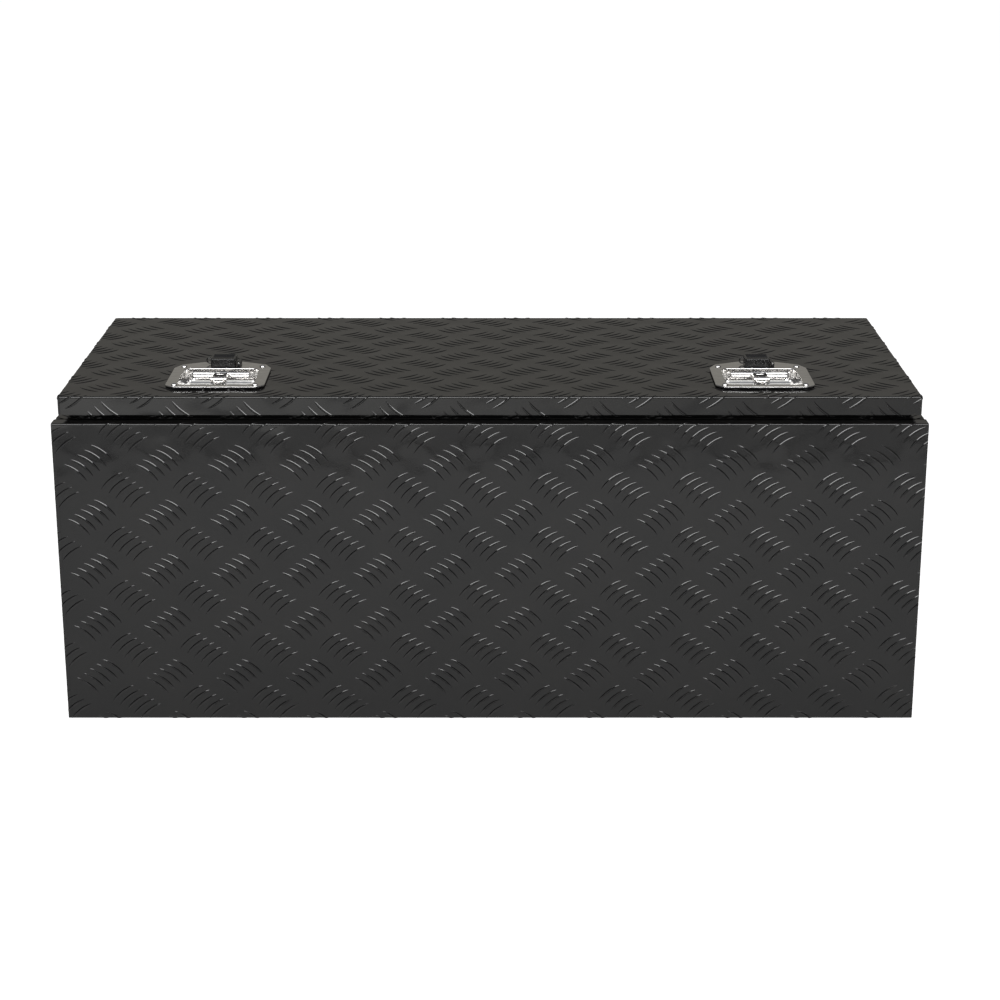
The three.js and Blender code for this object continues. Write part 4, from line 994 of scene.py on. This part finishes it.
def lid_tray():
    """Lid with a short skirt all round, cut for the latches, and its bars."""
    bm = bmesh.new()
    top = LID_TOP - BAR_HEIGHT
    outer = lid_face(bm, BAR_HEIGHT, LID_FOLD, top)
    inner = lid_face(bm, SHEET, FOLD_INSIDE, top - PLATE)
    bridge(bm, outer[0], inner[0])
    above, below = latch_openings(bm, top), latch_openings(bm, top - PLATE)
    for near, far in zip(above, below):
        bridge(bm, near, far)
    fill_between(bm, outer[-1], *above)
    fill_between(bm, inner[-1], *below)
    new_piece("lid_sheet", outward(bm), "lid", "powder_coat", ["lid_skin"])

    across = Fold([(LID_HALF_Y, SKIRT_BOTTOM), (LID_HALF_Y, LID_TOP),
                   (-LID_HALF_Y, LID_TOP), (-LID_HALF_Y, SKIRT_BOTTOM)])
    edge = LID_HALF_X - BAR_HEIGHT - LID_FOLD
    skirt = top - LID_FOLD - SKIRT_BOTTOM + LID_FOLD * math.pi / 2
    top_start = LID_HALF_Y - BAR_HEIGHT - LID_FOLD
    phase = (LID_PHASE.x, skirt + top_start + LID_PHASE.y)
    bars = lay_tread(across, (-edge, edge), (0, across.length), phase,
                     across_the_chest, False, LID_CELL, -BAR_BOW)
    for side in SIDES.values():
        for half, (front, rear) in SEATS:
            bars = clear_seat(bars, (side * LATCH_X - half, LATCH_Y + front),
                              (side * LATCH_X + half, LATCH_Y + rear))
    parts = [bars]
    run = LID_HALF_Y - LID_CORNER
    for side in SIDES.values():
        corners = [(side * LID_HALF_X, SKIRT_BOTTOM), (side * LID_HALF_X, LID_TOP), (0, LID_TOP)]
        fold = Fold(corners if side > 0 else corners[::-1])
        span = (0, skirt) if side > 0 else (fold.length - skirt, fold.length)
        parts.append(lay_tread(fold, (-run, run), span, (LID_PHASE.y, 0.0), along_the_end,
                               side > 0, LID_CELL, -BAR_BOW))
    tread_piece("tread_lid", "lid", *parts)


def clear_seat(bm, low, high):
    """Cuts the bars back to the sides of a rectangle on the lid."""
    parts = []
    for (x_low, y_low), (x_high, y_high) in (
            ((None, None), (low[0], None)), ((high[0], None), (None, None)),
            ((low[0], None), (high[0], low[1])), ((low[0], high[1]), (high[0], None))):
        part = bm.copy()
        cut_away(part, (x_low, y_low, None), (x_high, y_high, None))
        parts.append(part)
    bm.free()
    return merged(*parts)


# Latch pieces, drawn about the middle of the pan with heights from the lid's top face

def latch_spot(side, across=0.0, height=0.0):
    return Vector((side * LATCH_X, LATCH_Y + across, LID_TOP + height))


def mirrored(right):
    """A whole outline from its right half."""
    points = [Vector(point) for point in right]
    return points + [Vector((-p.x, p.y)) for p in reversed(points)]


def rounded_outline(corners, radii, steps=5):
    """Outline of a convex shape with every corner rounded."""
    points = []
    for index, (corner, radius) in enumerate(zip(corners, radii)):
        before = (corners[index - 1] - corner).normalized()
        after = (corners[(index + 1) % len(corners)] - corner).normalized()
        half = before.angle(after) / 2
        centre = corner + (before + after).normalized() * (radius / math.sin(half))
        start = corner + before * (radius / math.tan(half)) - centre
        points += arc_points(centre, radius, math.atan2(start.y, start.x),
                             math.pi - 2 * half, steps)
    return points


def plate_outline(inset):
    half = PLATE_HALF_X - inset
    radii = [PLATE_FRONT_CORNER] * 2 + [PLATE_CORNER] * 3
    return rounded_outline(mirrored((
        (half - PLATE_FRONT_CUT, inset - PLATE_FRONT),
        (half, inset - PLATE_FRONT + PLATE_FRONT_CUT),
        (half, PLATE_SIDE_END),
        (half - PLATE_SHOULDER_CUT, PLATE_SHOULDER - inset),
        (PLATE_REAR_HALF - inset, PLATE_REAR - inset))), radii + radii[::-1])


def plate_holes():
    """Radius, sides and centre of each hole through the plate's flat border."""
    lock = (LOCK_HOLE_RADIUS, LOCK_SIDES, (0, LOCK_OFFSET))
    return [lock] + [(SCREW_HOLE_RADIUS, SCREW_SIDES, place) for place in SCREW_PLACES]


def pan_outline(spread):
    return rounded_rectangle(PAN_HALF_X + spread, PAN_HALF_Y + spread, PAN_CORNER + spread)


def latch_plate(label, side):
    """Stainless plate pressed into a deep pan, with a rolled lip and a wide floor fillet."""
    bm = bmesh.new()
    spot = latch_spot(side)
    bottom, floor_top = PLATE_TOP - LATCH_PLATE, PLATE_TOP - PAN_DROP
    floor_bottom, deep = floor_top - PAN_WALL, PAN_FILLET + PAN_WALL
    rim = shell(bm, [
        (plate_outline(0), bottom),
        *bend_rows(plate_outline, 0, PLATE_EDGE, PLATE_TOP, -PLATE_EDGE, RIM_STEPS),
        (plate_outline(PLATE_EDGE + EDGE_STRIP), PLATE_TOP)], spot)
    inside = shell(bm, [
        (pan_outline(PAN_LIP + EDGE_STRIP), PLATE_TOP),
        *reversed(bend_rows(pan_outline, 0, PAN_LIP, PLATE_TOP, -PAN_LIP, LIP_STEPS)),
        *bend_rows(pan_outline, 0, -PAN_FILLET, floor_top, PAN_FILLET, FILLET_STEPS),
        (pan_outline(-PAN_FILLET - EDGE_STRIP), floor_top)], spot)
    outside = shell(bm, [
        (pan_outline(PAN_WALL), bottom),
        *bend_rows(pan_outline, PAN_WALL, -deep, floor_bottom, deep, FILLET_STEPS)], spot)
    spindle = circle(SPINDLE_HOLE_RADIUS, LOCK_SIDES)
    floor_hole = shell(bm, [(spindle, floor_top), (spindle, floor_bottom)], spot)
    holes = [shell(bm, [(circle(*hole), PLATE_TOP), (circle(*hole), bottom)], spot)
             for hole in plate_holes()]
    fill_between(bm, rim[-1], inside[0], *[rings[0] for rings in holes])
    fill_between(bm, rim[0], outside[0], *[rings[1] for rings in holes])
    fill_between(bm, inside[-1], floor_hole[0])
    fill_between(bm, outside[-1], floor_hole[1])
    finished(f"latch_plate_{label}", bm, "lid", "polished_steel")


def turned_along_x(spot):
    """Places a profile turned about Z so that it lies along X at a spot."""
    return Matrix.Translation(spot) @ Matrix.Rotation(math.pi / 2, 4, "Y")


def turned_along_y(spot):
    return Matrix.Translation(spot) @ Matrix.Rotation(-math.pi / 2, 4, "X")


def rounded_bar(radius, half, edge):
    """Profile of a turned bar with rounded ends."""
    low = [(radius - edge * inset, edge * rise - half) for rise, inset in quarter(LIP_STEPS)]
    profile = low + [(r, -along) for r, along in reversed(low)]
    return [(0, -half), *profile, (0, half)] if radius > edge else profile


def eye_profile(bore, radius, half, bevel=RIM):
    """Closed profile of a bored cylinder with bevelled rims."""
    near = [(bore, -half), (radius - bevel, -half), (radius, bevel - half)]
    return near + [(r, -along) for r, along in reversed(near)] + near[:1]


def latch_handle(label, side):
    """T-handle: a round-ended grip in a sleeve, on a slotted stem with an eye for its pin."""
    bm = bmesh.new()
    pivot = latch_spot(side, 0, PLATE_TOP - PIVOT_DROP)
    grip = turned_along_x(pivot + Vector((0, HANDLE_REACH, 0)))
    lathe(bm, rounded_bar(GRIP_RADIUS, GRIP_HALF, GRIP_RADIUS), GRIP_SIDES, grip)
    lathe(bm, rounded_bar(SLEEVE_RADIUS, STEM_HALF, RIM), GRIP_SIDES, grip)
    eye = eye_profile(PIN_BORE_RADIUS, EYE_RADIUS, STEM_HALF)
    lathe(bm, eye, EYE_SIDES, turned_along_x(pivot))

    def stem(inset):
        return mirrored((
            (STEM_HALF - inset, STEM_CLEAR), (STEM_HALF - inset, YOKE_START),
            (YOKE_HALF - inset, YOKE_START + YOKE_HALF - STEM_HALF),
            (YOKE_HALF - inset, YOKE_REAR), (STEM_HALF, HANDLE_REACH)))

    def slot(inset):
        half_y = SLOT_HALF_Y + inset
        return [p + Vector((0, SLOT_MIDDLE))
                for p in rounded_rectangle(SLOT_HALF_X + inset, half_y, half_y)]

    slab(bm, (stem, slot), -STEM_THICK / 2, STEM_THICK / 2, RIM, pivot)
    finished(f"t_handle_{label}", bm, f"t_handle_{label}", "polished_steel")


def latch_hub(label, side):
    """Round hub in the pan, two ears beside the handle, and the threaded spindle below."""
    bm = bmesh.new()
    base = PLATE_TOP - PAN_DROP + SEAM_GAP
    pivot = PLATE_TOP - PIVOT_DROP
    top = PLATE_TOP - HUB_TOP_DROP - EYE_RADIUS
    start = SPINDLE_END + 2 * RIM
    profile = [(0, SPINDLE_END), (THREAD_RADIUS - RIM, SPINDLE_END),
               (THREAD_RADIUS, SPINDLE_END + RIM)]
    for turn in range(int((SPINDLE_STEP - start) / THREAD_PITCH)):
        along = start + turn * THREAD_PITCH
        profile += [(THREAD_RADIUS - THREAD_DEPTH, along + THREAD_PITCH / 2),
                    (THREAD_RADIUS, along + THREAD_PITCH)]
    profile += [(THREAD_RADIUS, SPINDLE_STEP), (SPINDLE_RADIUS, SPINDLE_STEP),
                (SPINDLE_RADIUS, base), (HUB_RADIUS - RIM, base), (HUB_RADIUS, base + RIM),
                (HUB_RADIUS, top - 2 * RIM), (HUB_RADIUS - RIM / 2, top - RIM / 2),
                (HUB_RADIUS - 2 * RIM, top), (0, top)]
    lathe(bm, profile, TURNED_SIDES, Matrix.Translation(latch_spot(side)))

    foot = top - SEAM_GAP - pivot
    outline = [Vector((-EYE_RADIUS, foot)),
               *arc_points((0, 0), EYE_RADIUS, math.pi, -math.pi, EAR_STEPS),
               Vector((EYE_RADIUS, foot))]
    half = EAR_THICK / 2
    for end in (DOWN, UP):
        middle = latch_spot(side, 0, pivot)
        middle.x += end * (STEM_HALF + EAR_GAP + half)

        def ring(points, across, share=1.0):
            return add_ring(bm, [middle + Vector((across, p.x * share, p.y * share))
                                 for p in points])

        rows = join(bm, [ring(outline, across, 1 - inset / EYE_RADIUS)
                         for inset, across in rim_rows(-half, half, RIM)])
        bores = join(bm, [ring(circle(EAR_BORE_RADIUS, EAR_BORE_SIDES), across)
                          for across in (-half, half)])
        for last in (0, -1):
            fill_between(bm, rows[last], bores[last])
    finished(f"latch_hub_{label}", bm, f"latch_spindle_{label}", "polished_steel")


def weather_cap(label, side):
    """Rubber cap over the lock: a hollow block with rounded edges, a pull ring and a hinge."""
    bm = bmesh.new()
    spot = latch_spot(side, LOCK_OFFSET, PLATE_TOP + SEAM_GAP)

    def block(inset):
        return rounded_rectangle(CAP_HALF_X - inset, CAP_HALF_Y - inset, CAP_CORNER - inset)

    outer = shell(bm, [
        (block(0), 0),
        *bend_rows(block, 0, CAP_EDGE, CAP_HEIGHT, -CAP_EDGE, LIP_STEPS),
        (block(CAP_EDGE + EDGE_STRIP), CAP_HEIGHT),
        (block(CAP_EDGE + CAP_RIM), CAP_HEIGHT),
        (block(CAP_EDGE + CAP_RIM + EDGE_STRIP), CAP_HEIGHT - CAP_DISH)], spot)
    hollow = rounded_rectangle(CAP_HOLLOW, CAP_HOLLOW, CAP_CORNER)
    walls = shell(bm, [(hollow, 0), (hollow, CAP_HEIGHT - CAP_ROOF)], spot)
    fill_between(bm, outer[0], walls[0])
    fill_between(bm, outer[-1])
    fill_between(bm, walls[1])

    wire = RING_WIRE / 2
    tube = [(RING_RADIUS - wire + p.x, p.y) for p in circle(wire, WIRE_SIDES)]
    ring_spot = spot + Vector((-CAP_HALF_X - RING_REACH, 0, CAP_HEIGHT / 2))
    lathe(bm, tube + tube[:1], EYE_SIDES, turned_along_y(ring_spot))

    pivot = spot + Vector((CAP_HALF_X + CAP_HINGE_OUT, 0, CAP_BASE + SEAM_GAP + CAP_KNUCKLE))
    half = CAP_KNUCKLE_LENGTH / 2
    knuckle = eye_profile(CAP_BORE, CAP_KNUCKLE, half, SEAM_GAP)
    lathe(bm, knuckle, KNUCKLE_SIDES, turned_along_y(pivot))
    reach = (CAP_HINGE_OUT + CAP_EDGE) / 2

    def strap(inset):
        return rounded_rectangle(reach, half - inset, RIM - inset / 2, steps=2)

    slab(bm, (strap,), CAP_BORE, CAP_KNUCKLE, RIM / 3, pivot - Vector((reach, 0, 0)))
    finished(f"weather_cap_{label}", bm, f"weather_cap_{label}", "black_rubber")


# Fasteners

HEAD_INPUTS = ("Head Radius", "Head Height", "Shank Radius", "Shank Length")
FASTENER_INPUTS = {
    "Columns": 2.0,
    "Rows": 2.0,
    "Column Step": 0.1,
    "Row Step": 0.1,
    "Groups": 1.0,
    "Group Step": 1.0,
    **dict(zip(HEAD_INPUTS, SCREW_HEAD)),
    "Sides": 20.0,
    "Steps": 12.0,
}


def fastener_tree():
    """Dome-head fasteners on a grid of points, the grid repeated in groups along X."""
    graph, given = growing_tree("fasteners", FASTENER_INPUTS)
    add, less, times, vector = graph.add, graph.less, graph.times, graph.vector

    def spread(geometry, count, step, *before):
        """Copies of the points in a centred row, along the axis after those `before` it."""
        copies = add("GeometryNodeDuplicateElements", {
            "Geometry": geometry, "Amount": given[count]}, domain="POINT")
        middle = times(less(given[count], 1.0), 0.5)
        place = times(less(copies["Duplicate Index"], middle), given[step])
        return add("GeometryNodeSetPosition", {
            "Geometry": copies["Geometry"], "Offset": vector(*before, place)})["Geometry"]

    points = add("GeometryNodePoints", {"Count": 1})[0]
    points = spread(points, "Columns", "Column Step")
    points = spread(points, "Rows", "Row Step", 0.0)
    points = spread(points, "Groups", "Group Step")

    # A unit sphere with its lower half pressed flat makes the dome
    ball = add("GeometryNodeMeshUVSphere", {
        "Segments": given["Sides"], "Rings": given["Steps"], "Radius": 1.0})
    x, y, z = graph.axes(add("GeometryNodeInputPosition")[0])
    dome = add("GeometryNodeSetPosition", {"Geometry": ball["Mesh"], "Position": vector(
        times(x, given["Head Radius"]), times(y, given["Head Radius"]),
        times(graph.sum("MAXIMUM", z, 0.0), given["Head Height"]))})
    shank = add("GeometryNodeMeshCylinder", {
        "Vertices": given["Sides"], "Radius": given["Shank Radius"],
        "Depth": given["Shank Length"]})
    lowered = add("GeometryNodeTransform", {
        "Geometry": shank["Mesh"], "Translation": vector(z=times(given["Shank Length"], -0.5))})
    both = graph.tree.nodes.new("GeometryNodeJoinGeometry")
    for part in (dome, lowered):
        graph.tree.links.new(part[0], both.inputs[0])
    heads = add("GeometryNodeInstanceOnPoints", {"Points": points, "Instance": both.outputs[0]})
    return close_tree(graph, given, heads[0])


def fasteners(place, slot, head, columns=(1, 0.0), rows=(1, 0.0), groups=(1, 0.0), **more):
    """A grid of dome heads, moved into place with +Z as the way the heads face.

    Columns, rows and groups are each a count and a step."""
    values = {**dict(zip(HEAD_INPUTS, head)), **more, "Material": FINISHES[slot]}
    for name, (count, step) in (("Column", columns), ("Row", rows), ("Group", groups)):
        values[f"{name}s"], values[f"{name} Step"] = float(count), step
    bm = grown(FASTENERS, values)
    bm.transform(place)
    return bm


def latch_screws():
    low, high = SCREW_PLACES[0], SCREW_PLACES[-1]
    middle = Vector((0, LATCH_Y + (low.y + high.y) / 2, LID_TOP + PLATE_TOP + SEAM_GAP))
    bm = fasteners(Matrix.Translation(middle), "polished_steel", SCREW_HEAD,
                   (2, 2 * high.x), (2, high.y - low.y), (2, 2 * LATCH_X))
    names = [f"latch_screw_{number}_{label}"
             for number in range(1, len(SCREW_PLACES) + 1) for label in SIDES]
    new_piece("latch_screws", outward(bm), "lid", "polished_steel", names)


def hinge_rivets():
    """Rivets through the lid's rear skirt and through the hinge's foot on the ledge."""
    def row(y, z, lean):
        place = Matrix.Translation((0, y, z)) @ Matrix.Rotation(lean, 4, "X")
        return fasteners(place, "hinge_steel", RIVET_HEAD, (RIVETS, RIVET_STEP))

    through = merged(row(LID_HALF_Y - BAR_HEIGHT, RIVET_Z, -math.pi / 2),
                     row(LEAF_INNER_Y, RIVET_Z, math.pi / 2))
    new_piece("hinge_rivets_lid", outward(through), "lid", "hinge_steel")
    foot = row(FOOT_RIVET_Y, FOOT_TOP_Z, 0)
    new_piece("hinge_rivets_body", outward(foot), "chest", "hinge_steel")


def bracket_screws():
    """Screws that hold the strut brackets to the ends and to the lid."""
    for label, side in SIDES.items():
        low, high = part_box(f"strut_wall_bracket_{label}")
        middle = (Vector(low) + Vector(high)) / 2
        middle.x = side * (max(abs(low[0]), abs(high[0])) - BRACKET_SHEET)
        inwards = Matrix.Translation(middle) @ Matrix.Rotation(-side * math.pi / 2, 4, "Y")
        wall = fasteners(inwards, "bright_zinc", BRACKET_HEAD, (2, WALL_SCREWS_HIGH),
                         (2, WALL_SCREWS_WIDE))
        new_piece(f"wall_bracket_screws_{label}", outward(wall), "chest", "bright_zinc")
        low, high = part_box(f"strut_lid_bracket_{label}")
        spot = Vector((side * (min(abs(low[0]), abs(high[0])) + LID_SCREWS_IN),
                       (low[1] + high[1]) / 2, high[2] - BRACKET_SHEET))
        under = Matrix.Translation(spot) @ Matrix.Rotation(math.pi, 4, "X")
        lid = fasteners(under, "bright_zinc", BRACKET_HEAD, rows=(2, LID_SCREWS_APART))
        new_piece(f"lid_bracket_screws_{label}", outward(lid), "lid", "bright_zinc")


def weld_beads():
    """Rippled welds down the inside corners, each a row of overlapping domes."""
    count = int((BODY_HEIGHT - 2 * WELD_MARGIN) / WELD_STEP)
    upwards = Vector((0, 0, 1))
    beads = []
    for side in SIDES.values():
        for end in (DOWN, UP):
            spot = Vector((side * (BODY_HALF_X - SHEET), end * (BODY_HALF_Y - SHEET),
                           BODY_HEIGHT / 2))
            facing = Vector((-side, -end, 0)).normalized()
            turn = Matrix((facing.cross(upwards), upwards, facing)).transposed().to_4x4()
            beads.append(fasteners(Matrix.Translation(spot) @ turn, "powder_coat", WELD_DOME,
                                   rows=(count, WELD_STEP), Sides=WELD_SIDES, Steps=WELD_STEPS))
    new_piece("weld_beads", outward(merged(*beads)), "chest", "powder_coat")


# Struts

def reach_of(node, pivot, way):
    """How far a node goes from a pivot along a way."""
    return max((vertex.co - pivot).dot(way) for vertex in frame["nodes"][node].data.vertices)


def strut_part(node, slot, sides, pivot, way, profile):
    """A part turned about the strut's line, with an eye on its stud."""
    bm = bmesh.new()
    line = way.to_track_quat("Z", "Y").to_matrix().to_4x4()
    lathe(bm, profile, sides, Matrix.Translation(pivot) @ line)
    eye = eye_profile(STRUT_BORE, STRUT_EYE_RADIUS, STRUT_EYE_HALF)
    lathe(bm, eye, STRUT_EYE_SIDES, turned_along_x(pivot))
    finished(node, bm, node, slot)


def strut(label, side):
    """Gas strut: enamelled tube with a rolled neck and gland, and a polished rod."""
    body_stud = Vector((side * STRUT_X, *BODY_STUD))
    lid_stud = Vector((side * STRUT_X, *LID_STUD))
    way = (lid_stud - body_stud).normalized()
    node = f"strut_tube_{label}"
    end = reach_of(node, body_stud, way)
    groove, gland = end - TUBE_GROOVE_IN, end - TUBE_GLAND
    strut_part(node, "black_steel", TURNED_SIDES, body_stud, way, [
        (0, 0), (STRUT_ROD, 0), (STRUT_ROD, TUBE_NECK), (TUBE_RADIUS - 2 * RIM, TUBE_SHOULDER),
        (TUBE_RADIUS, TUBE_SHOULDER + 2 * RIM), (TUBE_RADIUS, groove - RIM),
        (TUBE_RADIUS - RIM, groove), (TUBE_RADIUS, groove + RIM), (TUBE_RADIUS, end - RIM),
        (TUBE_RADIUS - RIM, end), (TUBE_MOUTH, end), (TUBE_MOUTH, gland), (TUBE_BORE, gland),
        (TUBE_BORE, TUBE_FLOOR), (0, TUBE_FLOOR)])

    node, bevel = f"strut_rod_{label}", RIM / 2
    end = reach_of(node, lid_stud, -way)
    piston = end - PISTON_LENGTH
    strut_part(node, "polished_steel", ROD_SIDES, lid_stud, -way, [
        (0, 0), (STRUT_ROD, 0), (STRUT_ROD, piston), (PISTON_RADIUS - bevel, piston),
        (PISTON_RADIUS, piston + bevel), (PISTON_RADIUS, end - bevel),
        (PISTON_RADIUS - bevel, end), (0, end)])


# Studio

def rectangle(run, span):
    """Corners of a rectangle, in turn."""
    return [(run[0], span[0]), (run[1], span[0]), (run[1], span[1]), (run[0], span[1])]


def staged(name, bm, material):
    thing = placed(name, mesh_of(name, bm, material))
    return thing


def floor():
    """Pale floor that takes the chest's soft shadow and glows enough to read as white."""
    material = new_material("studio_floor")
    graph = Graph(material.node_tree)
    matt = graph.add("ShaderNodeBsdfDiffuse", {"Color": grey(FLOOR_COLOUR)})[0]
    camera_ray = graph.add("ShaderNodeLightPath")["Is Camera Ray"]
    strength = graph.span(camera_ray, FLOOR_GLOW, FLOOR_WHITE, 0.0, 1.0)
    glow = graph.add("ShaderNodeEmission", {"Strength": strength})[0]
    graph.surface(graph.add("ShaderNodeAddShader", {0: matt, 1: glow})[0])
    reach = (-FLOOR_HALF, FLOOR_HALF)
    bm = bmesh.new()
    bm.faces.new(add_ring(bm, [(x, y, -FLOOR_DROP) for x, y in rectangle(reach, reach)]))
    staged("studio_floor", bm, material)


def glowing(name, first, last=None, low=0.0, high=1.0, axis="Y"):
    """A glow in one colour, or from one colour to another along an axis of the set."""
    material = new_material(name)
    graph = Graph(material.node_tree)
    share = graph.span(graph.axes(graph.object_place())[axis], 0.0, 1.0, low, high,
                       interpolation_type="SMOOTHSTEP")
    colour = graph.shades(share, first, last or first, 0.0, 1.0)
    graph.surface(graph.add("ShaderNodeEmission", {"Color": colour})[0])
    return material


def reflected_only(name, bm, material):
    """A piece of the set seen only in reflections."""
    thing = staged(name, bm, material)
    for kind in ("camera", "diffuse", "transmission", "shadow", "volume_scatter"):
        setattr(thing, f"visible_{kind}", False)


def card(name, corners, material):
    bm = bmesh.new()
    bm.faces.new(add_ring(bm, corners))
    reflected_only(name, bm, material)


def patch(name, corners, material):
    """Part of the floor."""
    card(name, [(x, y, 0) for x, y in corners], material)


def studio_walls():
    """A grey wall behind, a dim room in front and above, and the cards and floor in the gloss."""
    half_wall = WALL_RADIUS / 2
    wall = glowing("studio_wall", WALL_FRONT, WALL_BACK, -half_wall, half_wall)
    ceiling = glowing("studio_ceiling", CEILING_EDGE, CEILING_TOP, CEILING_DIM, CEILING_BRIGHT,
                      "Z")
    for name, low, high, top_radius, material in (
            ("studio_wall", WALL_LOW, WALL_HIGH, WALL_RADIUS, wall),
            ("studio_ceiling", WALL_HIGH, CEILING_HIGH, CEILING_HOLE, ceiling)):
        bm = bmesh.new()
        shell(bm, [(circle(WALL_RADIUS, WALL_SIDES), low), (circle(top_radius, WALL_SIDES), high)])
        reflected_only(name, bm, material)
    near = glowing("near_floor", NEAR_COLOUR)
    seam_start = SEAM_Y - SEAM_WIDTH
    far = glowing("far_floor", FAR_LEFT, FAR_RIGHT, -FAR_HALF, FAR_HALF, "X")
    for name, span, material in (
            ("floor_seam", (seam_start, SEAM_Y), glowing("floor_seam", SEAM_COLOUR)),
            ("near_floor", (FAR_Y, seam_start), near),
            ("far_floor", (-WALL_RADIUS, FAR_Y), far),
            ("floor_behind", (BEHIND_Y, WALL_RADIUS), near)):
        patch(name, rectangle((-WALL_RADIUS, WALL_RADIUS), span), material)
    sheen = rectangle((-SHEEN_HALF, SHEEN_HALF), (SHEEN_LOW, SHEEN_HIGH))
    card("sheen", [(x, *spot) for x, spot in sheen], glowing("sheen", SHEEN_COLOUR))
    bright = glowing("side_card", CARD_COLOUR)
    for label, side in SIDES.items():
        card(f"card_{label}", [(side * x, y, z) for y, (x, z) in rectangle(
            CARD_SPAN, (CARD_LOW, CARD_HIGH))], bright)
        close, wide, edge = (side * x for x in (*BESIDE_X, WALL_RADIUS))
        patch(f"floor_{label}", ((close, -BEHIND_Y), (wide, SEAM_Y), (edge, SEAM_Y),
                                 (edge, BEHIND_Y), (close, BEHIND_Y)), near)


def world():
    """White where the camera, a reflection or a transparent surface sees past the set."""
    sky = bpy.data.worlds.new("studio")
    bpy.context.scene.world = sky
    sky.use_nodes = True
    graph = Graph(sky.node_tree)
    path = graph.add("ShaderNodeLightPath")
    seen = path["Is Camera Ray"]
    for ray in ("Is Glossy Ray", "Is Transmission Ray"):
        seen = graph.sum("MAXIMUM", seen, path[ray])
    soft, white = (graph.add("ShaderNodeBackground", {"Color": grey(1.0), "Strength": power})[0]
                   for power in (AMBIENT, 1.0))
    mixed = graph.add("ShaderNodeMixShader", {0: seen, 1: soft, 2: white})[0]
    graph.surface(mixed, "ShaderNodeOutputWorld")


def softbox():
    data = bpy.data.lights.new("softbox", "AREA")
    data.shape = "RECTANGLE"
    data.size, data.size_y = KEY_SIZE
    data.energy = KEY_POWER
    lamp = placed("softbox", data)
    lamp.location = KEY_SPOT
    way = Vector(KEY_AIM) - Vector(KEY_SPOT)
    lamp.rotation_euler = way.to_track_quat("-Z", "Y").to_euler()


def camera():
    data = bpy.data.cameras.new("camera")
    data.sensor_width = SENSOR
    data.lens = LENS
    data.shift_y = CAMERA_SHIFT
    eye = placed("camera", data)
    eye.location = CAMERA_SPOT
    eye.rotation_euler = (math.pi / 2 - CAMERA_PITCH, 0, 0)
    bpy.context.scene.camera = eye


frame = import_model()

FINISHES = {finish.__name__: finish() for finish in (
    powder_coat, polished_steel, hinge_steel, bright_zinc, black_steel, black_rubber, brass)}
for node in frame["nodes"].values():
    for holder in node.material_slots:
        holder.material = FINISHES[holder.material.name.split(".")[0]]

TREAD = tread_tree()
FASTENERS = fastener_tree()
body_wrap()
lid_tray()
for label, side in SIDES.items():
    for build in (end_panel, latch_plate, latch_hub, latch_handle, weather_cap, strut):
        build(label, side)
for build in (latch_screws, hinge_rivets, bracket_screws, weld_beads,
              floor, studio_walls, world, camera, softbox):
    build()
bpy.context.scene.view_settings.view_transform = "Standard"
